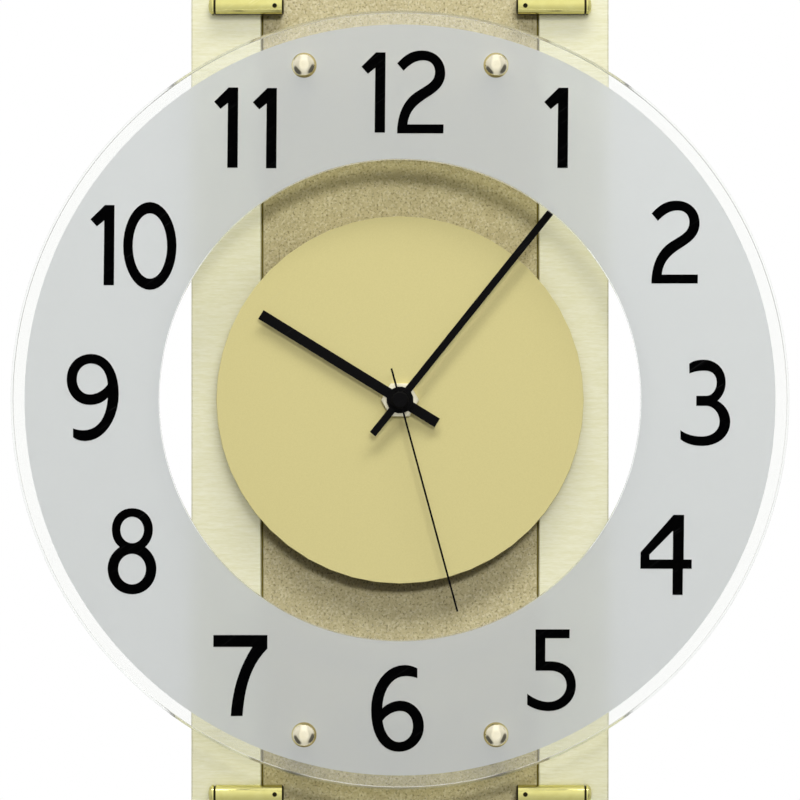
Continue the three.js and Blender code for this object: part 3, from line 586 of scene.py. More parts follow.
@dataclass(frozen=True)
class EffectShop:
    """Builds the shared node groups, each one once.

    A noise lies between 0 and 1, mostly near one half, so its ramps start and end round there.
    """

    even_spread: Span = (0.3, 0.7)
    finer_grain: float = 3.7
    finer_line: float = 4.0
    line_spread: Span = (0.36, 0.64)
    smudge_spread: Span = (0.45, 0.72)
    scratch_angle: float = 0.6
    scratch_stretch: Triple = (60.0, 60.0, 2500.0)
    scratch_spread: Span = (0.69, 0.74)
    upward: Span = (0.35, 1.0)
    # Painted shade: the heights of a face's normal over which it counts as facing down.
    shade_facing_down: Span = (-0.74, -0.84)
    dust_spread: Span = (0.3, 0.75)
    speck_harshness: float = 0.62
    speck_shift: Triple = (0.37, 0.11, 0.53)
    cloud_scale: float = 0.22
    dark_spread: Span = (0.47, 0.33)
    light_spread: Span = (0.51, 0.66)

    def place(self, wiring: Wiring, effect: Effect, vector: Socket, scale: float) -> Node:
        """Places an effect in a material, and builds its node group the first time.

        Args:
            wiring: The material's wiring.
            effect: The effect.
            vector: The coordinates that it reads.
            scale: Its features to the metre.

        Returns:
            The group node.
        """
        tree = bpy.data.node_groups.get(effect.value)
        if tree is None:
            tree = bpy.data.node_groups.new(effect.value, "ShaderNodeTree")
            builders = {
                Effect.FINE_GRAIN: self.fine_grain,
                Effect.BRUSHED_LINES: self.brushed_lines,
                Effect.HANDLING_MARKS: self.handling_marks,
                Effect.SETTLED_DUST: self.settled_dust,
                Effect.STONE_SPECKS: self.stone_specks,
            }
            builders[effect](tree)
        made = wiring.add("ShaderNodeGroup")
        made.node_tree = tree
        made.inputs["Scale"].default_value = scale
        wiring.link(vector, made.inputs["Vector"])
        return made

    def open_group(self, tree: Tree) -> tuple[Wiring, Socket, Socket]:
        """Gives a group its two inputs.

        Args:
            tree: The group.

        Returns:
            Its wiring, its coordinates and its scale.
        """
        tree.interface.new_socket("Vector", in_out="INPUT", socket_type="NodeSocketVector")
        tree.interface.new_socket("Scale", in_out="INPUT", socket_type="NodeSocketFloat")
        wiring = Wiring(tree)
        given = wiring.add("NodeGroupInput")
        return wiring, given.outputs["Vector"], given.outputs["Scale"]

    def close_group(self, wiring: Wiring, results: dict[str, Socket]) -> None:
        """Gives a group its outputs.

        Args:
            wiring: The group's wiring.
            results: Each output's name, and the value that it gives.
        """
        for name in results:
            wiring.tree.interface.new_socket(name, in_out="OUTPUT", socket_type="NodeSocketFloat")
        given_out = wiring.add("NodeGroupOutput")
        for name, value in results.items():
            wiring.link(value, given_out.inputs[name])

    def fine_grain(self, tree: Tree) -> None:
        """Builds a cast or moulded grain: patches of tone, and a finer relief.

        Args:
            tree: The empty group.
        """
        wiring, vector, scale = self.open_group(tree)
        coarse = wiring.noise(vector, scale, detail=4.0)
        fine = wiring.noise(vector, wiring.times(scale, self.finer_grain), detail=2.0)
        mask = wiring.ramp(coarse, *self.even_spread)
        self.close_group(wiring, {"Mask": mask, "Height": wiring.mean(coarse, fine)})

    def brushed_lines(self, tree: Tree) -> None:
        """Builds straight brushing: hair lines of two widths, which the vector stretches.

        Args:
            tree: The empty group.
        """
        wiring, vector, scale = self.open_group(tree)
        broad = wiring.noise(vector, scale, detail=2.0)
        hair = wiring.noise(vector, wiring.times(scale, self.finer_line))
        mask = wiring.ramp(wiring.mean(broad, hair), *self.line_spread)
        self.close_group(wiring, {"Mask": mask, "Height": hair})

    def handling_marks(self, tree: Tree) -> None:
        """Builds faint wear: broad smudges, and short thin scratches at a slant.

        Args:
            tree: The empty group.
        """
        wiring, vector, scale = self.open_group(tree)
        smudge = wiring.ramp(wiring.noise(vector, scale, detail=2.0), *self.smudge_spread)
        turn = wiring.add("ShaderNodeVectorRotate", rotation_type="Y_AXIS")
        turn.inputs["Angle"].default_value = self.scratch_angle
        wiring.link(vector, turn.inputs["Vector"])
        thin = wiring.along("MULTIPLY", turn.outputs["Vector"], self.scratch_stretch)
        scratch = wiring.ramp(wiring.noise(thin, scale=1.0, detail=1.0), *self.scratch_spread)
        self.close_group(wiring, {"Smudge": smudge, "Scratch": scratch})

    def settled_dust(self, tree: Tree) -> None:
        """Builds the thin dust that lies on what faces up, and a mask of what faces down for a painted
        shade.

        Args:
            tree: The empty group.
        """
        wiring, vector, scale = self.open_group(tree)
        facing = wiring.parts(wiring.add("ShaderNodeNewGeometry").outputs["True Normal"])["Z"]
        patch = wiring.ramp(wiring.noise(vector, scale, detail=2.0), *self.dust_spread)
        lying = wiring.times(wiring.ramp(facing, *self.upward), patch)
        # Painted shade mask: the faces that point down.
        below = wiring.ramp(facing, *self.shade_facing_down)
        self.close_group(wiring, {"Mask": lying, "ShadeBelow": below})

    def stone_specks(self, tree: Tree) -> None:
        """Builds the specks of ground stone: dark grains, light grains and broad clouds.

        Args:
            tree: The empty group.
        """
        wiring, vector, scale = self.open_group(tree)
        grain = wiring.noise(vector, scale, harshness=self.speck_harshness)
        pale = wiring.noise(wiring.along("ADD", vector, self.speck_shift), scale, detail=2.0)
        cloud = wiring.noise(vector, wiring.times(scale, self.cloud_scale))
        self.close_group(
            wiring,
            {
                "Dark": wiring.ramp(grain, *self.dark_spread),
                "Light": wiring.ramp(pale, *self.light_spread),
                "Cloud": wiring.ramp(cloud, *self.even_spread),
            },
        )


EFFECTS = EffectShop()


@dataclass(frozen=True)
class Finish:
    """A solid finish: two tones of grain, faint wear, dust, a fine relief, and a painted shade where
    asked.
    """

    name: str
    tone: Colour
    deep_tone: Colour
    grain: float = 900.0
    stretch: Triple = (1.0, 1.0, 1.0)
    effect: Effect = Effect.FINE_GRAIN
    roughness: float = 0.5
    roughness_spread: float = 0.08
    metallic: float = 0.0
    relief: float = 0.02 * MM
    relief_strength: float = 0.5
    wear_tone: Colour = (0.5, 0.5, 0.5, 1.0)
    wear: float = 0.15
    wear_grain: float = 22.0
    dust_tone: Colour = shade(196, 190, 178)
    dust: float = 0.12
    dust_grain: float = 160.0
    coat: float = 0.0
    coat_roughness: float = 0.08
    gloss: float = 0.5
    # Painted shade: how much the faces that point down are darkened, for the dark shade reflected under
    # the part.
    underside_shade: float = 0.0
    underside_shade_tone: Colour = (0.03, 0.022, 0.004, 1.0)

    def base_colour(self, wiring: Wiring, place: Socket, grain: Node) -> Socket:
        """Returns the colour before wear and dust.

        Args:
            wiring: The material's wiring.
            place: The object's own coordinates, not used here.
            grain: The grain's group node.

        Returns:
            The colour.
        """
        return wiring.blend(grain.outputs["Mask"], self.deep_tone, self.tone)

    def make(self) -> Material:
        """Builds the material.

        Returns:
            The finished material.
        """
        material = bpy.data.materials.new(self.name)
        material.use_nodes = True
        material.diffuse_color = self.tone
        wiring = Wiring(material.node_tree)
        shader = material.node_tree.nodes["Principled BSDF"]
        place = wiring.add("ShaderNodeTexCoord").outputs["Object"]
        drawn = wiring.along("MULTIPLY", place, self.stretch)
        grain = EFFECTS.place(wiring, self.effect, drawn, self.grain)
        marks = EFFECTS.place(wiring, Effect.HANDLING_MARKS, place, self.wear_grain)
        # This group gives both the real dust mask and the painted shade mask for faces that point down.
        dust = EFFECTS.place(wiring, Effect.SETTLED_DUST, place, self.dust_grain)
        colour = self.base_colour(wiring, place, grain)
        scratched = wiring.times(marks.outputs["Scratch"], self.wear)
        colour = wiring.blend(scratched, colour, self.wear_tone)
        dusted = wiring.times(dust.outputs["Mask"], self.dust)
        colour = wiring.blend(dusted, colour, self.dust_tone)
        # Painted shade: faces that point down are darkened towards a near-black tone.
        if self.underside_shade:
            below = wiring.times(dust.outputs["ShadeBelow"], self.underside_shade)
            colour = wiring.blend(below, colour, self.underside_shade_tone)
        wiring.link(colour, shader.inputs["Base Color"])
        spread = self.roughness_spread
        low, high = self.roughness - spread, self.roughness + spread
        plain = wiring.ramp(grain.outputs["Mask"], 0.0, 1.0, low, high)
        smudged = wiring.ramp(marks.outputs["Smudge"], 0.0, 1.0, 0.0, spread)
        wiring.link(wiring.reckon("ADD", plain, smudged), shader.inputs["Roughness"])
        wiring.raise_relief(shader, grain.outputs["Height"], self.relief_strength, self.relief)
        shader.inputs["Metallic"].default_value = self.metallic
        shader.inputs["Specular IOR Level"].default_value = self.gloss
        shader.inputs["Coat Weight"].default_value = self.coat
        shader.inputs["Coat Roughness"].default_value = self.coat_roughness
        return material


@dataclass(frozen=True)
class StoneFinish(Finish):
    """Ground stone: a clouded ground with dark and light specks."""

    dark_speck: Colour = (0.1, 0.1, 0.1, 1.0)
    light_speck: Colour = (0.9, 0.9, 0.9, 1.0)
    dark_share: float = 0.7
    light_share: float = 0.5

    def base_colour(self, wiring: Wiring, place: Socket, grain: Node) -> Socket:
        """Returns the clouded ground with its specks.

        Args:
            wiring: The material's wiring.
            place: The object's own coordinates.
            grain: The grain's group node, not used here, as it only gives the relief.

        Returns:
            The colour.
        """
        specks = EFFECTS.place(wiring, Effect.STONE_SPECKS, place, self.grain)
        ground = wiring.blend(specks.outputs["Cloud"], self.deep_tone, self.tone)
        light = wiring.times(specks.outputs["Light"], self.light_share)
        ground = wiring.blend(light, ground, self.light_speck)
        dark = wiring.times(specks.outputs["Dark"], self.dark_share)
        return wiring.blend(dark, ground, self.dark_speck)


@dataclass(frozen=True)
class WindingFinish(Finish):
    """Enamelled wire, wound side by side along the x axis, with dark lines between."""

    turns: float = 4000.0
    waver: float = 0.6
    line_edge: Span = (0.1, 0.6)

    def base_colour(self, wiring: Wiring, place: Socket, grain: Node) -> Socket:
        """Returns the wires with the dark lines between them.

        Args:
            wiring: The material's wiring.
            place: The object's own coordinates.
            grain: The grain's group node, not used here.

        Returns:
            The colour.
        """
        wave = wiring.add("ShaderNodeTexWave", wave_type="BANDS", bands_direction="X")
        wave.inputs["Scale"].default_value = self.turns / FULL_TURN
        wave.inputs["Distortion"].default_value = self.waver
        wiring.link(place, wave.inputs["Vector"])
        wires = wiring.ramp(wave.outputs["Fac"], *self.line_edge)
        return wiring.blend(wires, self.deep_tone, self.tone)


@dataclass(frozen=True)
class CellFinish(Finish):
    """A battery's wrap, which leaves bare metal at both ends."""

    wrap_start: float = -22.6 * MM
    wrap_end: float = 24.4 * MM
    wrap_edge: float = 0.1 * MM
    metal: Colour = (0.6, 0.6, 0.6, 1.0)

    def base_colour(self, wiring: Wiring, place: Socket, grain: Node) -> Socket:
        """Returns the wrap between its two edges, and metal beyond them.

        Args:
            wiring: The material's wiring.
            place: The object's own coordinates.
            grain: The grain's group node.

        Returns:
            The colour.
        """
        across = wiring.parts(place)["X"]
        start, end, edge = self.wrap_start, self.wrap_end, self.wrap_edge
        after = wiring.ramp(across, start - edge, start + edge)
        before = wiring.ramp(across, end + edge, end - edge)
        film = wiring.blend(grain.outputs["Mask"], self.deep_tone, self.tone)
        return wiring.blend(wiring.times(after, before), self.metal, film)


@dataclass(frozen=True)
class GlassFinish:
    """Glass or a clear or frosted film, which lets a share of the lamps' light through."""

    name: str
    tone: Colour
    transmission: float
    roughness: float
    passing: Colour
    index: float = 1.46
    grain: float = 1500.0
    tone_spread: float = 0.006
    roughness_share: float = 0.12
    roughness_least: float = 0.004
    relief: float = 0.002 * MM
    relief_strength: float = 0.05
    rim_centre: Triple = (0.0, 0.0, 0.0)
    rim_radius: float = 0.0
    rim_soft: float = 0.3 * MM
    rim_passing: Colour = (0.04, 0.04, 0.04, 1.0)

    def let_through(self, wiring: Wiring, place: Socket) -> Node:
        """Builds what the lamps' light meets: a clear sheet, darker within the rim's radius.

        Light that enters a sheet close to its cut edge leaves it sideways, so the edge of a
        hole casts a wider shadow than its thickness alone.

        Args:
            wiring: The material's wiring.
            place: The object's own coordinates.

        Returns:
            The clear shader.
        """
        clear = wiring.add("ShaderNodeBsdfTransparent")
        clear.inputs["Color"].default_value = self.passing
        if self.rim_radius:
            away = wiring.along("SUBTRACT", place, self.rim_centre)
            inner, outer = self.rim_radius - self.rim_soft, self.rim_radius + self.rim_soft
            outside = wiring.ramp(wiring.length(away, (1.0, 0.0, 1.0)), inner, outer)
            wiring.link(wiring.blend(outside, self.rim_passing, self.passing), clear.inputs["Color"])
        return clear

    def make(self) -> Material:
        """Builds the material.

        Returns:
            The finished material.
        """
        material = bpy.data.materials.new(self.name)
        material.use_nodes = True
        material.diffuse_color = self.tone
        wiring = Wiring(material.node_tree)
        shader = material.node_tree.nodes["Principled BSDF"]
        output = material.node_tree.nodes["Material Output"]
        place = wiring.add("ShaderNodeTexCoord").outputs["Object"]
        grain = EFFECTS.place(wiring, Effect.FINE_GRAIN, place, self.grain)
        darker = tuple(part * (1 - self.tone_spread) for part in self.tone[:3]) + (1.0,)
        mask = grain.outputs["Mask"]
        wiring.link(wiring.blend(mask, self.tone, darker), shader.inputs["Base Color"])
        rougher = self.roughness * (1 + self.roughness_share) + self.roughness_least
        plain = wiring.ramp(mask, 0.0, 1.0, self.roughness, rougher)
        wiring.link(plain, shader.inputs["Roughness"])
        wiring.raise_relief(shader, grain.outputs["Height"], self.relief_strength, self.relief)
        shader.inputs["IOR"].default_value = self.index
        shader.inputs["Transmission Weight"].default_value = self.transmission
        rays = wiring.add("ShaderNodeLightPath").outputs
        unseen = wiring.reckon("MAXIMUM", rays["Is Shadow Ray"], rays["Is Diffuse Ray"])
        clear = self.let_through(wiring, place).outputs["BSDF"]
        shown = wiring.choose(unseen, shader.outputs["BSDF"], clear)
        wiring.link(shown, output.inputs["Surface"])
        return material


class Look(Enum):
    """The finishes of the clock, each named for its material or for what it covers."""

    PANEL = Finish(
        "brushed_pale_gold",
        tone=shade(255, 253, 224), deep_tone=shade(240, 237, 195),
        grain=1.0, stretch=(120.0, 400.0, 1300.0), effect=Effect.BRUSHED_LINES,
        roughness=0.42, metallic=0.5, relief=0.01 * MM, relief_strength=0.35,
        wear_tone=shade(240, 236, 215),
    )
    STONE = StoneFinish(
        "speckled_stone",
        tone=shade(214, 203, 158), deep_tone=shade(200, 188, 144),
        dark_speck=shade(120, 104, 62), light_speck=shade(240, 232, 200),
        grain=1150.0, roughness=0.62, relief=0.05 * MM, wear=0.05, gloss=0.12,
    )
    DISC = Finish(
        "satin_brass",
        tone=shade(224, 213, 149), deep_tone=shade(219, 208, 144),
        grain=2600.0, roughness_spread=0.03, metallic=0.05,
        relief=0.004 * MM, relief_strength=0.4, wear=0.03,
    )
    BRASS = Finish(
        "polished_brass",
        tone=shade(217, 211, 137), deep_tone=shade(211, 204, 128),
        grain=300.0, roughness=0.1, roughness_spread=0.03, metallic=1.0,
        relief=0.002 * MM, relief_strength=0.3,
        # Painted shade on the faces that point down, at full strength.
        wear_tone=shade(240, 236, 190), wear=0.2, underside_shade=1.0,
    )
    # Painted shade for the bars' inner edges, grooves and grub screw holes.
    DARK_BRASS = Finish(
        "brass_painted_shade",
        tone=shade(52, 46, 16), deep_tone=shade(38, 33, 10),
        roughness=0.4, metallic=0.8, relief=0.01 * MM,
        wear_tone=shade(110, 100, 50), dust=0.0,
    )
    CAP = Finish(
        "pale_polished_brass",
        tone=shade(247, 240, 214), deep_tone=shade(241, 233, 203),
        grain=300.0, roughness=0.07, roughness_spread=0.03, metallic=1.0,
        relief=0.002 * MM, relief_strength=0.3,
        # Painted shade on the faces that point down, at half strength.
        wear_tone=shade(250, 246, 224), wear=0.2, underside_shade=0.5,
    )
    NUT = Finish(
        "pale_plated_brass",
        tone=shade(248, 243, 216), deep_tone=shade(242, 235, 203),
        grain=300.0, roughness=0.3, roughness_spread=0.02, metallic=0.5,
        relief=0.0005 * MM, relief_strength=0.1,
    )
    GLASS = GlassFinish(
        "mineral_glass",
        tone=shade(254, 255, 254), transmission=1.0, roughness=0.0,
        passing=(0.97, 0.975, 0.965, 1.0), index=1.5,
        rim_centre=(0.0, 0.0, -193.0 * MM), rim_radius=90.0 * MM,
    )
    GLASS_EDGE = GlassFinish(
        "ground_glass_edge",
        tone=shade(250, 253, 250), transmission=1.0, roughness=0.2,
        passing=(0.04, 0.04, 0.04, 1.0), index=1.5,
    )
    PRINT_FILM = GlassFinish(
        "satin_print",
        tone=shade(223, 226, 227), transmission=0.5, roughness=0.6,
        passing=(0.84, 0.83, 0.74, 1.0), index=1.3,
    )
    # Painted light: a faint white veil that brightens the clear glass margin.
    EDGE_VEIL = GlassFinish(
        "edge_veil",
        tone=shade(254, 254, 253), transmission=0.94, roughness=0.1,
        passing=(0.98, 0.98, 0.98, 1.0), index=1.03,
    )
    CLEAR_PLASTIC = GlassFinish(
        "clear_moulding",
        tone=shade(240, 242, 240), transmission=0.85, roughness=0.15,
        passing=(0.85, 0.85, 0.85, 1.0),
    )
    NUMERAL = Finish(
        "black_print",
        tone=shade(6, 6, 6), deep_tone=shade(2, 2, 3),
        grain=1200.0, roughness=0.55, wear=0.02, dust=0.0, gloss=0.0,
    )
    PALE_PRINT = Finish(
        "pale_print",
        tone=shade(206, 206, 204), deep_tone=shade(194, 194, 193),
        grain=1200.0, roughness=0.6, relief=0.004 * MM, wear=0.05,
    )
    HAND = Finish(
        "matt_black_paint",
        tone=shade(14, 13, 14), deep_tone=shade(8, 8, 8),
        grain=1800.0, relief=0.006 * MM, wear=0.03, dust=0.02, gloss=0.05,
    )
    BOARD = Finish(
        "lacquered_fibreboard",
        tone=shade(54, 50, 46), deep_tone=shade(40, 37, 34),
        grain=420.0, roughness=0.55, relief=0.04 * MM,
        wear_tone=shade(96, 84, 70), wear=0.3, dust=0.08,
    )
    SEAM = Finish(
        "bare_fibreboard",
        tone=shade(150, 139, 76), deep_tone=shade(138, 127, 66),
        grain=420.0, roughness=0.7, relief=0.03 * MM, dust=0.0, gloss=0.0,
    )
    BLACK_PLASTIC = Finish(
        "black_moulding",
        tone=shade(34, 34, 36), deep_tone=shade(24, 24, 26),
        grain=1500.0, roughness=0.48, relief=0.03 * MM, wear_tone=shade(74, 74, 76),
    )
    GREY_PLASTIC = Finish(
        "grey_moulding",
        tone=shade(66, 66, 68), deep_tone=shade(54, 54, 57),
        grain=1500.0, relief=0.03 * MM, wear_tone=shade(104, 104, 106),
    )
    WHITE_PLASTIC = Finish(
        "natural_acetal",
        tone=shade(238, 234, 220), deep_tone=shade(226, 221, 204),
        grain=800.0, roughness=0.34, relief=0.01 * MM, wear_tone=shade(214, 208, 190),
    )
    RUBBER = Finish(
        "black_rubber",
        tone=shade(36, 36, 36), deep_tone=shade(27, 27, 27),
        grain=1100.0, roughness=0.75, relief=0.03 * MM, dust=0.1,
    )
    STEEL = Finish(
        "zinc_plated_steel",
        tone=shade(200, 202, 204), deep_tone=shade(178, 181, 184),
        grain=1.0, stretch=(900.0, 900.0, 60.0), effect=Effect.BRUSHED_LINES,
        roughness=0.32, metallic=0.95, relief=0.006 * MM,
        wear_tone=shade(222, 222, 220), wear=0.3,
    )
    COPPER = WindingFinish(
        "enamelled_copper",
        tone=shade(196, 112, 62), deep_tone=shade(104, 50, 26),
        roughness=0.3, metallic=0.8,
    )
    FERRITE = Finish(
        "sintered_ferrite",
        tone=shade(66, 66, 70), deep_tone=shade(50, 50, 54),
        grain=1600.0,
    )
    CIRCUIT = Finish(
        "solder_resist",
        tone=shade(36, 98, 56), deep_tone=shade(28, 84, 48),
        grain=500.0, roughness=0.3, coat=0.3,
    )
    BATTERY = CellFinish(
        "battery_wrap",
        tone=shade(62, 77, 106), deep_tone=shade(54, 68, 96), metal=shade(200, 200, 198),
        grain=200.0, roughness=0.3, relief=0.004 * MM,
    )

    @cache
    def material(self) -> Material:
        """Returns the look's material, which is made once."""
        return self.value.make()


def dress(piece: Piece, look: Look, body: str = HOUSING) -> None:
    """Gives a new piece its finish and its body.

    Args:
        piece: The finished mesh object.
        look: The finish that covers it.
        body: The body that it moves with.
    """
    piece.data.materials.clear()
    piece.data.materials.append(look.material())
    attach(piece, body)
    log.info("made %s", piece.name)


@dataclass(frozen=True)
class Dressing:
    """One solid of the construction, and how it is finished."""

    node: str
    look: Look
    slot: str
    body: str = HOUSING
    edge: float = 0.0


class Assembly:
    """What the sub-assemblies share: the frame's solids and their refining."""

    def __init__(self, nodes: dict[str, Piece]) -> None:
        """Keeps the frame's solids."""
        self.nodes = nodes

    def refine(self, job: Dressing) -> Piece:
        """Copies a solid, closes its mesh, softens its edges and lets the copy stand for it.

        Args:
            job: The solid and its finish.

        Returns:
            The new piece.
        """
        flat_enough = math.radians(0.5)
        pick_only(self.nodes[job.node])
        bpy.ops.object.duplicate()
        piece = bpy.context.active_object
        piece.name = f"{job.node}_finished"
        piece.parent = None
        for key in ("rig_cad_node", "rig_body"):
            if key in piece:
                del piece[key]
        bpy.ops.mesh.customdata_custom_splitnormals_clear()
        with editing(piece):
            bpy.ops.mesh.select_all(action="SELECT")
            bpy.ops.mesh.remove_doubles(threshold=MERGE_GAP)
            bpy.ops.mesh.dissolve_limited(angle_limit=flat_enough)
        if job.edge:
            soften(piece, job.edge)
        else:
            smooth(piece)
        dress(piece, job.look, job.body)
        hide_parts(job.node)
        return piece

    def paint_faces(self, piece: Piece, look: Look, test: PointTest) -> None:
        """Gives some of a piece's faces a second finish.

        Args:
            piece: The piece, dressed in its first finish.
            look: The second finish.
            test: Says of a face's middle whether the face gets it.
        """
        piece.data.materials.append(look.material())
        for face in piece.data.polygons:
            face.material_index = int(test(face.center))


CORNERS = ("top_left", "top_right", "bottom_left", "bottom_right")


@dataclass(frozen=True)
class PanelSizes:
    """The small roundings of the backing, and the parts of board and bars with a second finish, a
    painted shade on the bars.
    """

    board_edge: float = 0.5 * MM
    board_skin: float = 0.05 * MM
    strip_edge: float = 0.25 * MM
    panel_edge: float = 0.25 * MM
    hanger_edge: float = 0.15 * MM
    bumper_edge: float = 0.25 * MM
    bar_end: float = 0.6 * MM
    bar_groove: Span = (24.6 * MM, 25.4 * MM)
    bar_hole_inset: float = 3.2 * MM
    bar_hole_radius: float = 0.92 * MM


class Backing(Assembly):
    """The board, its stone strip and side panels, the bars, the hanger and the bumpers."""

    sizes = PanelSizes()

    def build(self) -> None:
        """Dresses every piece of the backing."""
        sizes = self.sizes
        board = self.refine(Dressing("back_board", Look.BOARD, "board", edge=sizes.board_edge))
        self.bare_front(board)
        self.refine(Dressing("stone_strip", Look.STONE, "stone", edge=sizes.strip_edge))
        for side in ("left", "right"):
            for job in (
                Dressing(f"{side}_panel", Look.PANEL, "brushed_gold", edge=sizes.panel_edge),
                Dressing(f"bumper_{side}", Look.RUBBER, "black_rubber", edge=sizes.bumper_edge),
                Dressing(f"hanger_screw_{side}", Look.STEEL, "steel"),
            ):
                self.refine(job)
        self.refine(Dressing("hanger_plate", Look.STEEL, "steel", edge=sizes.hanger_edge))
        for corner in CORNERS:
            self.shade_bar_hollows(self.refine(Dressing(f"bar_{corner}", Look.BRASS, "polished_brass")))

    def bare_front(self, board: Piece) -> None:
        """Leaves the board's front unlacquered, which shows in the two seams.

        Args:
            board: The finished back board.
        """
        front = min(corner.co.y for corner in board.data.vertices)
        skin = self.sizes.board_skin
        self.paint_faces(board, Look.SEAM, lambda middle: abs(middle.y - front) < skin)

    def shade_bar_hollows(self, bar: Piece) -> None:
        """Darkens a bar's inner edge, its groove and the inside of its grub screw hole as painted
        shade.

        Args:
            bar: The bar, whose inner end is the one nearer the middle of the clock.
        """
        sizes = self.sizes
        places = [corner.co for corner in bar.data.vertices]
        inner = min(abs(at.x) for at in places)
        height = (min(at.z for at in places) + max(at.z for at in places)) / 2
        start, end = sizes.bar_groove

        def dark(middle: Vector) -> bool:
            """Says whether a face belongs to the end, the groove or the hole.

            Args:
                middle: The face's middle.

            Returns:
                Whether it gets the painted shade.
            """
            reach = abs(middle.x) - inner
            from_hole = math.hypot(reach - sizes.bar_hole_inset, middle.z - height)
            in_groove = start < reach < end
            return reach < sizes.bar_end or in_groove or from_hole < sizes.bar_hole_radius

        # Painted shade in the bar's hollows and on its inner edge.
        self.paint_faces(bar, Look.DARK_BRASS, dark)


@dataclass(frozen=True)
class RingSizes:
    """The glass ring's turning, its print and its fixings."""

    steps: int = 192
    outer_bevel: float = 0.8 * MM
    inner_bevel: float = 0.12 * MM
    inner_radius: float = 86.5 * MM
    hole_radius: float = 3.5 * MM
    drill_reach: float = 10.0 * MM
    smooth_angle: float = 30.0
    facing: float = 0.9
    film: float = 0.04 * MM
    film_gap: float = 0.04 * MM
    cap_radius: float = 4.5 * MM
    cap_round: float = 3.3 * MM
    cap_steps: int = 14
    cap_sides: int = 72
    cap_tip: float = 0.2
    cap_smooth_angle: float = 50.0
    shank_radius: float = 1.9 * MM
    shank_sides: int = 32


@dataclass(frozen=True)
class PrintSizes:
    """The radii of the satin print and the veiled clear margin, in millimetres."""

    outer: float = 134.8
    inner: float = 86.64
    hole: float = 4.3
    veil_gap: float = 0.02
    veil_outer: float = 139.0
    fineness: int = 48


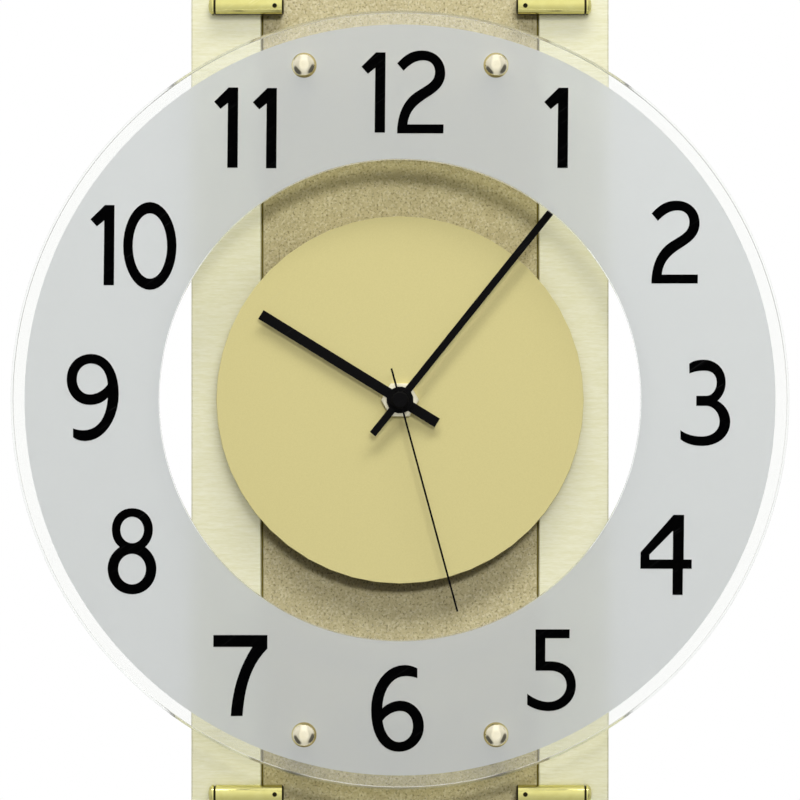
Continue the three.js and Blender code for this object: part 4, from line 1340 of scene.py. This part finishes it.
class GlassRing(Assembly):
    """The glass ring with its satin print and ground margin, and its four fixings."""

    sizes = RingSizes()
    printed = PrintSizes()

    def __init__(self, nodes: dict[str, Piece]) -> None:
        """Reads the ring's place from the frame.

        Args:
            nodes: The frame's solids.
        """
        super().__init__(nodes)
        low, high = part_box("glass_ring")
        self.centre = (low + high) / 2
        self.front = low.y
        self.back = high.y
        self.radius = min(high.x - low.x, high.z - low.z) / 2

    def fixings(self) -> list[Vector]:
        """Finds the four fixings.

        Returns:
            Their middles, at the ring's front face.
        """
        found = []
        for corner in CORNERS:
            low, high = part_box(f"ring_cap_{corner}")
            middle = (low + high) / 2
            found.append(Vector((middle.x, self.front, middle.z)))
        return found

    def build_glass(self) -> None:
        """Turns the ring from its section, bevels it and drills its four holes."""
        sizes = self.sizes
        middle = (sizes.inner_radius + self.radius) / 2
        ring = started(
            "glass_ring_clear",
            bpy.ops.mesh.primitive_plane_add,
            (self.radius - sizes.inner_radius, self.back - self.front, 1),
            size=1,
            location=(middle, self.centre.y, self.centre.z),
        )
        with editing(ring):
            pick_edges(ring, lambda at: at.x > middle)
            bpy.ops.mesh.bevel(offset=sizes.outer_bevel, segments=1, affect="VERTICES")
        with editing(ring):
            pick_edges(ring, lambda at: at.x < middle)
            bpy.ops.mesh.bevel(offset=sizes.inner_bevel, segments=1, affect="VERTICES")
        with editing(ring, Cut.FACES):
            bpy.ops.mesh.select_all(action="SELECT")
            bpy.ops.mesh.delete(type="ONLY_FACE")
        with editing(ring):
            bpy.ops.mesh.select_all(action="SELECT")
            axis_point = (0, self.centre.y, self.centre.z)
            bpy.ops.mesh.spin(
                steps=sizes.steps, angle=FULL_TURN, center=axis_point, axis=(0, 1, 0)
            )
            close_mesh(MERGE_GAP)
        for place in self.fixings():
            start = place - Heading.FORWARD.way * sizes.drill_reach
            drill = turned(
                "drill", sizes.hole_radius, start, 2 * sizes.drill_reach, Heading.FORWARD
            )
            pick_only(ring)
            bore = ring.modifiers.new("bore", "BOOLEAN")
            bore.operation = "DIFFERENCE"
            bore.object = drill
            bpy.ops.object.modifier_apply(modifier=bore.name)
            bpy.data.objects.remove(drill)
        smooth(ring, sizes.smooth_angle)
        dress(ring, Look.GLASS)
        ring.data.materials.append(Look.GLASS_EDGE.material())
        ring.visible_glossy = False
        for face in ring.data.polygons:
            face.material_index = 0 if abs(face.normal.y) > sizes.facing else 1
        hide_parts("glass_ring")

    def build_film(self, name: str, loops: list[Loop], look: Look) -> Piece:
        """Lays one thin film just before the ring's front face.

        Args:
            name: The film's name.
            loops: Its outlines.
            look: Its finish.

        Returns:
            The film.
        """
        film = flat_shape(name, loops, self.sizes.film, self.printed.fineness)
        move_by(film, Vector((0, self.front - self.sizes.film_gap, self.centre.z)))
        dress(film, look)
        return film

    def build_print(self) -> None:
        """Lays the satin print on the ring, and a faint white veil on its clear margin as painted
        light.
        """
        sizes = self.printed
        loops = [round_loop(sizes.outer), round_loop(sizes.inner)]
        for at in self.fixings():
            loops.append(round_loop(sizes.hole, (at.x / MM, (at.z - self.centre.z) / MM)))
        satin = self.build_film("satin_print", loops, Look.PRINT_FILM)
        satin.visible_glossy = False
        # Painted light: the veil brightens the clear margin.
        rim = [round_loop(sizes.veil_outer), round_loop(sizes.outer + sizes.veil_gap)]
        self.build_film("margin_light_veil", rim, Look.EDGE_VEIL)

    def build_cap(self, corner: str, place: Vector) -> None:
        """Turns one domed cap nut with its shank.

        Args:
            corner: The corner that it belongs to.
            place: Its middle, at the ring's front face.
        """
        sizes = self.sizes
        low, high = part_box(f"ring_cap_{corner}")
        height = self.front - low.y
        tip = low.y + height * sizes.cap_tip
        dome = turned("dome", sizes.cap_radius, place, height, Heading.FORWARD, sizes.cap_sides)
        with editing(dome):
            pick_edges(dome, lambda at: at.y < tip)
            bpy.ops.mesh.bevel(
                offset=sizes.cap_round, segments=sizes.cap_steps, profile=0.5, affect="EDGES"
            )
        foot = Vector((place.x, high.y, place.z))
        shank = turned(
            "shank", sizes.shank_radius, foot, high.y - place.y, Heading.FORWARD,
            sizes.shank_sides,
        )
        cap = united(f"cap_nut_{corner}", [dome, shank])
        smooth(cap, sizes.cap_smooth_angle)
        dress(cap, Look.CAP)
        cap.visible_shadow = False
        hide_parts(f"ring_cap_{corner}")

    def build(self) -> None:
        """Builds the ring, its print and its fixings."""
        self.build_glass()
        self.build_print()
        for corner, place in zip(CORNERS, self.fixings()):
            self.build_cap(corner, place)
            self.refine(Dressing(f"standoff_{corner}", Look.BRASS, "polished_brass"))
            self.refine(Dressing(f"ring_collar_{corner}", Look.CLEAR_PLASTIC, "clear_plastic"))


ONE: Loop = (
    (0.88, 14.4), (4.33, 14.4), (4.11, -14.4), (0.38, -14.4), (0.63, 8.86), (-2.02, 6.71),
    (-4.33, 9.28),
)
TWO: Loop = (
    (-8.58, 10.25), (-5.97, 13.22, -3.49, 14.87, 0.36, 14.87),
    (5.31, 14.87, 8.66, 11.3, 8.66, 6.76), (8.66, 3.33, 6.68, 1.13, 4.21, -0.66),
    (0.91, -3.0, -4.32, -5.2, -4.92, -11.66), (8.05, -11.66), (7.97, -14.87),
    (-8.66, -14.87), (-8.66, -7.67, -5.97, -3.0, -2.39, -0.38),
    (1.46, 2.23, 4.98, 3.33, 4.98, 7.04), (4.98, 9.79, 3.38, 11.35, 0.77, 11.35),
    (-2.39, 11.35, -4.59, 9.37, -6.32, 7.59),
)
THREE: Loop = (
    (-5.78, 14.05), (-4.35, 15.15, -2.43, 15.48, -0.51, 15.48),
    (4.16, 15.48, 7.32, 11.85, 7.32, 7.46), (7.32, 4.71, 6.36, 2.51, 4.44, 0.73),
    (7.18, -0.78, 8.97, -3.53, 8.97, -6.83), (8.97, -12.04, 4.44, -15.48, -0.92, -15.48),
    (-4.35, -15.48, -6.83, -14.79, -8.89, -13.14), (-8.97, -9.79),
    (-6.83, -11.36, -4.08, -12.1, -1.33, -12.1), (2.51, -12.1, 5.12, -9.85, 5.12, -6.69),
    (5.12, -3.53, 2.79, -1.11, 0.32, -1.11), (-3.25, -1.11), (-3.25, 2.51), (0.32, 2.51),
    (2.51, 2.51, 4.08, 4.71, 4.08, 7.32), (4.08, 9.93, 2.51, 11.52, -0.23, 11.52),
    (-2.16, 11.52, -4.08, 11.25, -5.73, 10.48),
)
FOUR: Loop = (
    (2.68, 14.38), (6.51, 14.38), (6.33, -1.66), (9.23, -1.66), (9.23, -4.98), (6.08, -4.98),
    (5.95, -14.38), (2.3, -14.38), (2.35, -4.98), (-9.23, -4.98), (-9.15, 0.98),
)
FOUR_EYE: Loop = ((2.5, 8.66), (2.43, -1.66), (-5.95, -1.66), (-5.95, 0.1))
FIVE: Loop = (
    (-5.75, 14.67), (6.52, 14.67), (6.47, 11.47), (-2.21, 11.47), (-2.26, 3.2), (-0.34, 3.2),
    (5.19, 3.2, 8.75, -0.12, 8.75, -5.41), (8.75, -10.7, 4.47, -14.67, -0.94, -14.67),
    (-3.94, -14.67, -6.59, -13.83, -8.75, -12.38), (-8.75, -8.42),
    (-6.35, -10.22, -3.7, -11.37, -1.06, -11.37), (2.55, -11.37, 5.39, -8.54, 5.39, -5.41),
    (5.39, -2.28, 3.03, -0.17, -0.34, -0.17), (-5.75, -0.17),
)
SIX: Loop = (
    (7.14, 14.34), (5.75, 15.19, 3.99, 15.57, 2.48, 15.57),
    (-4.32, 15.57, -9.48, 8.35, -9.48, -0.47), (-9.48, -10.28, -5.32, -15.57, 0.47, -15.57),
    (5.5, -15.57, 9.48, -11.54, 9.48, -6.38), (9.48, -1.22, 5.75, 2.76, 0.97, 2.76),
    (-1.55, 2.76, -3.81, 1.55, -5.45, 0.09), (-5.2, 6.84, -1.8, 11.57, 2.86, 11.57),
    (4.49, 11.57, 5.88, 11.37, 7.14, 10.81),
)
SIX_EYE: Loop = (
    (-5.32, -4.37), (-3.81, -2.23, -1.3, -0.92, 0.97, -0.92),
    (3.74, -0.92, 5.55, -3.24, 5.55, -6.38), (5.55, -9.53, 3.49, -12.1, 0.59, -12.1),
    (-2.81, -12.1, -5.07, -8.02, -5.32, -4.37),
)
SEVEN: Loop = (
    (-9.7, 14.54), (9.7, 14.54), (9.7, 9.66), (4.17, 4.01, 1.65, -2.96, 0.76, -14.54),
    (-3.47, -14.54), (-2.92, -6.56, -1.24, 1.61, 4.29, 10.26), (-9.7, 10.26),
)
EIGHT: Loop = (
    (0.06, 15.46), (4.47, 15.46, 7.49, 12.13, 7.49, 7.85), (7.49, 5.33, 6.49, 3.06, 4.77, 1.55),
    (7.24, -0.34, 8.75, -2.99, 8.75, -6.26), (8.75, -11.55, 4.98, -15.46, 0.06, -15.46),
    (-4.98, -15.46, -8.75, -11.55, -8.75, -6.26), (-8.75, -2.99, -7.12, -0.34, -4.47, 1.55),
    (-6.36, 3.06, -7.24, 5.33, -7.24, 7.85), (-7.24, 12.13, -4.35, 15.46, 0.06, 15.46),
)
NINE: Loop = (
    (-0.54, 15.64), (-5.58, 15.64, -9.36, 11.82, -9.36, 6.52),
    (-9.36, 1.23, -5.83, -2.67, -1.05, -2.67), (1.73, -2.67, 3.99, -1.66, 5.38, -0.03),
    (5.13, -6.83, 1.98, -11.74, -3.31, -11.74), (-4.57, -11.74, -5.83, -11.56, -7.09, -11.06),
    (-7.09, -14.26), (-5.83, -15.27, -4.32, -15.64, -2.56, -15.64),
    (3.99, -15.64, 9.36, -7.84, 9.36, 1.23), (9.36, 10.05, 5.25, 15.64, -0.54, 15.64),
)
NINE_EYE: Loop = (
    (-0.67, 12.19), (-3.56, 12.19, -5.71, 9.8, -5.71, 6.52),
    (-5.71, 3.5, -3.82, 1.11, -1.05, 1.11), (1.47, 1.11, 3.99, 2.62, 5.38, 4.76),
    (5.13, 9.3, 2.73, 12.19, -0.67, 12.19),
)
NOUGHT: Loop = (
    (0, 15.77), (5.27, 15.77, 9.57, 8.67, 9.57, 0), (9.57, -8.67, 5.27, -15.77, 0, -15.77),
    (-5.27, -15.77, -9.57, -8.67, -9.57, 0), (-9.57, 8.67, -5.27, 15.77, 0, 15.77),
)
NOUGHT_EYE: Loop = (
    (0.03, 11.69), (3.42, 11.69, 6.2, 6.42, 6.2, -0.03), (6.2, -6.47, 3.42, -11.74, 0.03, -11.74),
    (-3.37, -11.74, -6.15, -6.47, -6.15, -0.03), (-6.15, 6.42, -3.37, 11.69, 0.03, 11.69),
)
DIGITS: dict[str, list[Loop]] = {
    "0": [NOUGHT, NOUGHT_EYE],
    "1": [ONE],
    "2": [TWO],
    "3": [THREE],
    "4": [FOUR, FOUR_EYE],
    "5": [FIVE],
    "6": [SIX, SIX_EYE],
    "7": [SEVEN],
    "8": [
        EIGHT,
        round_loop(4.23, (0.04, 7.65), 4.74 / 4.23),
        round_loop(4.99, (0.01, -6.41), 5.49 / 4.99),
    ],
    "9": [NINE, NINE_EYE],
}
HOURS: dict[int, tuple[tuple[str, float, float], ...]] = {
    1: (("1", 56.1, 97.7),),
    2: (("2", 98.9, 56.7),),
    3: (("3", 109.6, -1.0),),
    4: (("4", 95.5, -55.6),),
    5: (("5", 54.4, -97.0),),
    6: (("6", -0.9, -110.7),),
    7: (("7", -57.3, -98.9),),
    8: (("8", -96.2, -54.3),),
    9: (("9", -110.3, 0.9),),
    10: (("1", -106.8, 55.6), ("0", -89.8, 55.3)),
    11: (("1", -62.4, 97.8), ("1", -48.5, 97.6)),
    12: (("1", -9.5, 110.4), ("2", 7.6, 110.6)),
}


def shifted(loop: Loop, right: float, up: float) -> Loop:
    """Moves an outline.

    Args:
        loop: The outline, in millimetres.
        right: The way to the right.
        up: The way up.

    Returns:
        The moved outline.
    """
    return tuple(
        tuple(value + (right if place % 2 == 0 else up) for place, value in enumerate(run))
        for run in loop
    )


@dataclass(frozen=True)
class NumeralSizes:
    """The thickness of the numerals, and how far before the glass they lie."""

    lift: float = 0.11 * MM
    depth: float = 0.03 * MM
    fineness: int = 10


class Numerals(Assembly):
    """The printed hours, each one a thin black shape just in front of the satin print."""

    sizes = NumeralSizes()

    def build(self) -> None:
        """Cuts the twelve hours and lays each one on the ring."""
        sizes = self.sizes
        low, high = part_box("glass_ring")
        place = Vector((0, low.y - sizes.lift, (low.z + high.z) / 2))
        for hour, digits in HOURS.items():
            loops = [
                shifted(loop, right, up) for digit, right, up in digits for loop in DIGITS[digit]
            ]
            numeral = flat_shape(f"numeral_{hour}", loops, sizes.depth, sizes.fineness)
            move_by(numeral, place)
            dress(numeral, Look.NUMERAL)


@dataclass(frozen=True)
class DialSizes:
    """The small roundings of the disc, the nut and the hands."""

    disc_edge: float = 0.2 * MM
    nut_edge: float = 0.25 * MM
    hand_edge: float = 0.12 * MM


class Dial(Assembly):
    """The disc, its spacer and nut, and the three hands."""

    sizes = DialSizes()

    def build(self) -> None:
        """Dresses the disc, what holds it, and the hands."""
        sizes = self.sizes
        self.refine(Dressing("dial_disc", Look.DISC, "satin_brass", edge=sizes.disc_edge))
        self.refine(Dressing("dial_spacer", Look.BLACK_PLASTIC, "black_plastic"))
        self.refine(Dressing("hex_nut", Look.NUT, "pale_nut", edge=sizes.nut_edge))
        for hand in ("hour_hand", "minute_hand", "second_hand"):
            body = f"{hand}_set"
            self.refine(Dressing(hand, Look.HAND, "black_hand", body, sizes.hand_edge))


@dataclass(frozen=True)
class CoilSizes:
    """The coil bobbins, which the frame holds as one solid each."""

    sides: int = 48
    radius: float = 3.2 * MM
    flange: float = 0.8 * MM
    flange_radius: float = 3.55 * MM
    core_width: float = 3.0 * MM
    core_thickness: float = 1.0 * MM
    core_reach: float = 4.4 * MM
    core_edge: float = 0.15 * MM
    winding_edge: float = 0.3 * MM
    flange_edge: float = 0.1 * MM


@dataclass(frozen=True)
class MarkSizes:
    """The printed plus and minus, in millimetres but for the film and the gap under it."""

    reach: float = 1.6
    stroke: float = 0.35
    aside: float = 20.5
    rise: float = 3.2
    film: float = 0.05 * MM
    gap: float = 0.01 * MM
    fineness: int = 1


@dataclass(frozen=True)
class MovementSizes:
    """The small roundings of the movement's mouldings and of its antenna rod."""

    moulding_edge: float = 0.2 * MM
    rod_edge: float = 0.3 * MM


class Movement(Assembly):
    """The radio movement: its case and cover, trains, coils, circuit and battery."""

    sizes = MovementSizes()
    coil = CoilSizes()
    mark = MarkSizes()
    wheel_bodies: dict[str, str] = {
        "hour_wheel": "hour_hand_set",
        "minute_wheel": "minute_hand_set",
        "second_wheel": "second_hand_set",
        "motion_wheel": "motion_wheel_body",
        "minute_idler": "minute_idler_body",
        "second_idler": "second_idler_body",
    }

    def build_marks(self) -> None:
        """Prints a plus and a minus on the cover, each above its end of the battery."""
        sizes = self.mark
        far, near = sizes.reach, sizes.stroke
        minus: Loop = ((far, near), (-far, near), (-far, -near), (far, -near))
        plus: Loop = (
            (far, near), (near, near), (near, far), (-near, far), (-near, near), (-far, near),
            (-far, -near), (-near, -near), (-near, -far), (near, -far), (near, -near),
            (far, -near),
        )
        low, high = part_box("movement_cover")
        depth = high.y + sizes.film + sizes.gap
        height = low.z + sizes.rise * MM
        for name, loop, side in (("plus_mark", plus, 1), ("minus_mark", minus, -1)):
            mark = flat_shape(name, [loop], sizes.film, sizes.fineness)
            move_by(mark, Vector((side * sizes.aside * MM, depth, height)))
            dress(mark, Look.PALE_PRINT)

    def build_coil(self, side: str) -> None:
        """Builds one motor's coil as its core, its bobbin's flanges and its winding.

        Args:
            side: The hand that the motor drives, minute or second.
        """
        sizes = self.coil
        low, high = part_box(f"{side}_coil")
        middle = (low + high) / 2
        start, end = low.x + sizes.core_reach, high.x - sizes.core_reach
        core = started(
            f"{side}_coil_core",
            bpy.ops.mesh.primitive_cube_add,
            (high.x - low.x, sizes.core_thickness, sizes.core_width),
            size=1,
            location=middle,
        )
        soften(core, sizes.core_edge)
        dress(core, Look.STEEL)
        winding = turned(
            f"{side}_coil_winding", sizes.radius, Vector((start, middle.y, middle.z)),
            end - start, Heading.ACROSS, sizes.sides,
        )
        soften(winding, sizes.winding_edge)
        dress(winding, Look.COPPER)
        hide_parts(f"{side}_coil")
        for place, label in ((start, "inner"), (end - sizes.flange, "outer")):
            flange = turned(
                f"{side}_coil_flange_{label}", sizes.flange_radius,
                Vector((place, middle.y, middle.z)), sizes.flange, Heading.ACROSS, sizes.sides,
            )
            soften(flange, sizes.flange_edge)
            dress(flange, Look.BLACK_PLASTIC)

    def build(self) -> None:
        """Dresses the movement from its case to its battery."""
        moulding = self.sizes.moulding_edge
        self.refine(Dressing("movement_case", Look.BLACK_PLASTIC, "black_plastic", edge=moulding))
        self.refine(Dressing("movement_cover", Look.GREY_PLASTIC, "grey_plastic", edge=moulding))
        self.build_marks()
        self.refine(Dressing("rubber_washer", Look.RUBBER, "black_rubber", edge=moulding))
        for button in ("set_button", "receive_button", "reset_button"):
            body = f"{button}_body"
            self.refine(Dressing(button, Look.WHITE_PLASTIC, "white_plastic", body, moulding))
        for wheel, body in self.wheel_bodies.items():
            self.refine(Dressing(wheel, Look.WHITE_PLASTIC, "white_plastic", body))
        for side in ("minute", "second"):
            body = f"{side}_rotor_body"
            self.refine(Dressing(f"{side}_rotor", Look.FERRITE, "ferrite", body))
            self.refine(Dressing(f"{side}_stator", Look.STEEL, "steel"))
            self.build_coil(side)
        for job in (
            Dressing("bearing_plate", Look.WHITE_PLASTIC, "white_plastic"),
            Dressing("antenna_rod", Look.FERRITE, "ferrite", edge=self.sizes.rod_edge),
            Dressing("antenna_coil", Look.COPPER, "copper"),
            Dressing("circuit_board", Look.CIRCUIT, "circuit_green"),
            Dressing("contact_plate", Look.STEEL, "steel"),
            Dressing("contact_spring", Look.STEEL, "steel"),
            Dressing("battery", Look.BATTERY, "battery_wrap"),
        ):
            self.refine(job)


@dataclass(frozen=True)
class Lamp:
    """One soft lamp, placed by its rise above the clock's front and its turn right, in degrees."""

    name: str
    rise: float
    right: float
    away: float
    width: float
    height: float
    power: float

    def way(self) -> Vector:
        """Works out where the lamp hangs.

        Returns:
            The direction from the clock to the lamp.
        """
        rise, right = math.radians(self.rise), math.radians(self.right)
        level = math.cos(rise)
        return Vector((math.sin(right) * level, -math.cos(right) * level, math.sin(rise)))


@dataclass(frozen=True)
class Studio:
    """The white studio: sky, two lamps above the front, a fill behind, floor and camera.

    A span holds the two values of a ray's direction between which the light changes.
    """

    lamps: tuple[Lamp, ...] = (
        Lamp("front_lamp", rise=22.0, right=9.0, away=3.0, width=1.1, height=0.4, power=35.0),
        Lamp("top_lamp", rise=61.0, right=12.0, away=3.0, width=3.0, height=0.75, power=82.0),
        Lamp("back_lamp", rise=145.0, right=-20.0, away=1.5, width=0.8, height=0.8, power=4.0),
    )
    upper_span: Span = (0.0, 0.6)
    sky_low: float = 0.14
    sky_high: float = 0.3
    behind_span: Span = (0.05, 0.4)
    sky_behind: float = 1.0
    ground_span: Span = (-0.95, 0.0)
    mirrored_ground: float = 0.68
    mirrored_level: float = 1.0
    mirrored_top: float = 0.25
    sides_span: Span = (0.02, 0.2)
    mirrored_sides: float = 0.7
    cards: tuple[Triple, ...] = ((0.85, -0.25, -0.42), (-0.78, -0.25, -0.6))
    card_span: Span = (0.78, 0.9)
    dark_card: float = 0.18
    floor_height: float = -0.47
    floor_radius: float = 1.2
    floor_sides: int = 96
    floor_tones: tuple[Colour, Colour] = (shade(238, 237, 234), shade(244, 243, 241))
    floor_grain: float = 90.0
    floor_roughness: float = 0.8
    floor_fade: Span = (0.35, 1.1)
    floor_bounce: Colour = (0.06, 0.06, 0.06, 1.0)
    camera_away: float = 1.5
    frame_width: float = 0.2872
    sensor: float = 36.0

    def mirrored_sky(self, wiring: Wiring, towards: Socket) -> Socket:
        """Builds how bright polished metal sees the studio in each direction.

        Args:
            wiring: The world's wiring.
            towards: The direction of the ray.

        Returns:
            The brightness: a bright upright band, darker sides and ground, and two dark cards.
        """
        parts = wiring.parts(towards)
        levels = (self.mirrored_ground, self.mirrored_level)
        ground = wiring.ramp(parts["Z"], *self.ground_span, *levels)
        upper = wiring.ramp(parts["Z"], *self.upper_span, 0.0, self.mirrored_top)
        bright = wiring.reckon("ADD", ground, upper)
        aside = wiring.times(parts["X"], parts["X"])
        sides = wiring.ramp(aside, *self.sides_span, 1.0, self.mirrored_sides)
        bright = wiring.times(bright, sides)
        for centre in self.cards:
            facing = wiring.along("DOT_PRODUCT", towards, Vector(centre).normalized())
            card = wiring.ramp(facing, *self.card_span, 1.0, self.dark_card)
            bright = wiring.times(bright, card)
        return bright

    def build_sky(self) -> None:
        """Sets a plain light all round, white to the camera, and shaded for polished metal."""
        world = bpy.data.worlds.new("white_studio")
        world.use_nodes = True
        bpy.context.scene.world = world
        wiring = Wiring(world.node_tree)
        plain = world.node_tree.nodes["Background"]
        output = world.node_tree.nodes["World Output"]
        seen = wiring.add("ShaderNodeBackground")
        plain.inputs["Color"].default_value = WHITE
        seen.inputs["Color"].default_value = WHITE
        towards = wiring.add("ShaderNodeTexCoord").outputs["Generated"]
        parts = wiring.parts(towards)
        upper = wiring.ramp(parts["Z"], *self.upper_span, self.sky_low, self.sky_high)
        behind = wiring.ramp(parts["Y"], *self.behind_span, 0.0, self.sky_behind)
        wiring.link(wiring.reckon("MAXIMUM", upper, behind), plain.inputs["Strength"])
        rays = wiring.add("ShaderNodeLightPath").outputs
        glossy, passed = rays["Is Glossy Ray"], rays["Is Transmission Ray"]
        mirrored = wiring.reckon("MAXIMUM", wiring.reckon("SUBTRACT", glossy, passed), 0.0)
        change = wiring.reckon("SUBTRACT", self.mirrored_sky(wiring, towards), 1.0)
        change = wiring.times(change, mirrored)
        wiring.link(wiring.reckon("ADD", change, 1.0), seen.inputs["Strength"])
        shown = wiring.reckon("MAXIMUM", rays["Is Camera Ray"], glossy)
        shown = wiring.reckon("MAXIMUM", shown, passed)
        light = wiring.choose(shown, plain.outputs["Background"], seen.outputs["Background"])
        wiring.link(light, output.inputs["Surface"])

    def hang(self, lamp: Lamp, aim: Vector) -> None:
        """Hangs one lamp, out of the camera's sight.

        Args:
            lamp: The lamp's place, size and power.
            aim: The point that it faces.
        """
        data = bpy.data.lights.new(lamp.name, "AREA")
        data.shape = "RECTANGLE"
        data.size = lamp.width
        data.size_y = lamp.height
        data.energy = lamp.power
        hung = bpy.data.objects.new(lamp.name, data)
        bpy.context.scene.collection.objects.link(hung)
        hung.location = aim + lamp.way() * lamp.away
        hung.rotation_euler = (-lamp.way()).to_track_quat("-Z", "Y").to_euler()
        hung.visible_camera = False
        hung.visible_glossy = False

    def floor_material(self) -> Material:
        """Makes the pale floor's material, which fades to white away from the clock.

        It throws little light back up, so that the clock is lit from above as in its picture.

        Returns:
            The finished material.
        """
        material = bpy.data.materials.new("pale_floor")
        material.use_nodes = True
        wiring = Wiring(material.node_tree)
        shader = material.node_tree.nodes["Principled BSDF"]
        output = material.node_tree.nodes["Material Output"]
        place = wiring.add("ShaderNodeTexCoord").outputs["Object"]
        speck = wiring.noise(place, self.floor_grain)
        wiring.link(wiring.blend(speck, *self.floor_tones), shader.inputs["Base Color"])
        shader.inputs["Roughness"].default_value = self.floor_roughness
        far = wiring.ramp(wiring.length(place, (1.0, 1.0, 0.0)), *self.floor_fade)
        rays = wiring.add("ShaderNodeLightPath").outputs
        seen = wiring.reckon("MAXIMUM", rays["Is Camera Ray"], rays["Is Transmission Ray"])
        fading = wiring.times(far, seen)
        glow = wiring.add("ShaderNodeEmission")
        glow.inputs["Strength"].default_value = 1.0
        dim = wiring.add("ShaderNodeBsdfDiffuse")
        dim.inputs["Color"].default_value = self.floor_bounce
        diffuse = rays["Is Diffuse Ray"]
        bounced = wiring.choose(diffuse, shader.outputs["BSDF"], dim.outputs["BSDF"])
        shown = wiring.choose(fading, bounced, glow.outputs["Emission"])
        wiring.link(shown, output.inputs["Surface"])
        return material

    def build_floor(self) -> None:
        """Lays the pale floor below the clock."""
        floor = started(
            "studio_floor",
            bpy.ops.mesh.primitive_circle_add,
            vertices=self.floor_sides,
            radius=self.floor_radius,
            fill_type="NGON",
            location=(0, 0, self.floor_height),
        )
        floor.data.materials.append(self.floor_material())
        floor.visible_glossy = False

    def build_camera(self, middle: Vector, front: float) -> None:
        """Sets the camera square to the ring, at the photograph's framing.

        Args:
            middle: The middle of the glass ring.
            front: The depth of its front face.
        """
        data = bpy.data.cameras.new("camera")
        data.sensor_width = self.sensor
        data.lens = self.sensor * self.camera_away / self.frame_width
        camera = bpy.data.objects.new("camera", data)
        bpy.context.scene.collection.objects.link(camera)
        camera.location = (middle.x, front - self.camera_away, middle.z)
        camera.rotation_euler = Heading.FORWARD.turn
        bpy.context.scene.camera = camera

    def build(self) -> None:
        """Builds the whole studio round the ring's middle."""
        low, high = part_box("glass_ring")
        middle = (low + high) / 2
        self.build_sky()
        for lamp in self.lamps:
            self.hang(lamp, middle)
        self.build_floor()
        self.build_camera(middle, low.y)
        bpy.context.scene.view_settings.view_transform = "Standard"


def main() -> None:
    """Dresses the clock from its wall side to its front, and sets the studio."""
    logging.basicConfig(level=logging.INFO, format="%(name)s: %(message)s")
    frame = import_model()
    nodes = frame["nodes"]
    Backing(nodes).build()
    Movement(nodes).build()
    Dial(nodes).build()
    GlassRing(nodes).build()
    Numerals(nodes).build()
    Studio().build()
    bpy.context.view_layer.update()


if __name__ == "__main__":
    main()
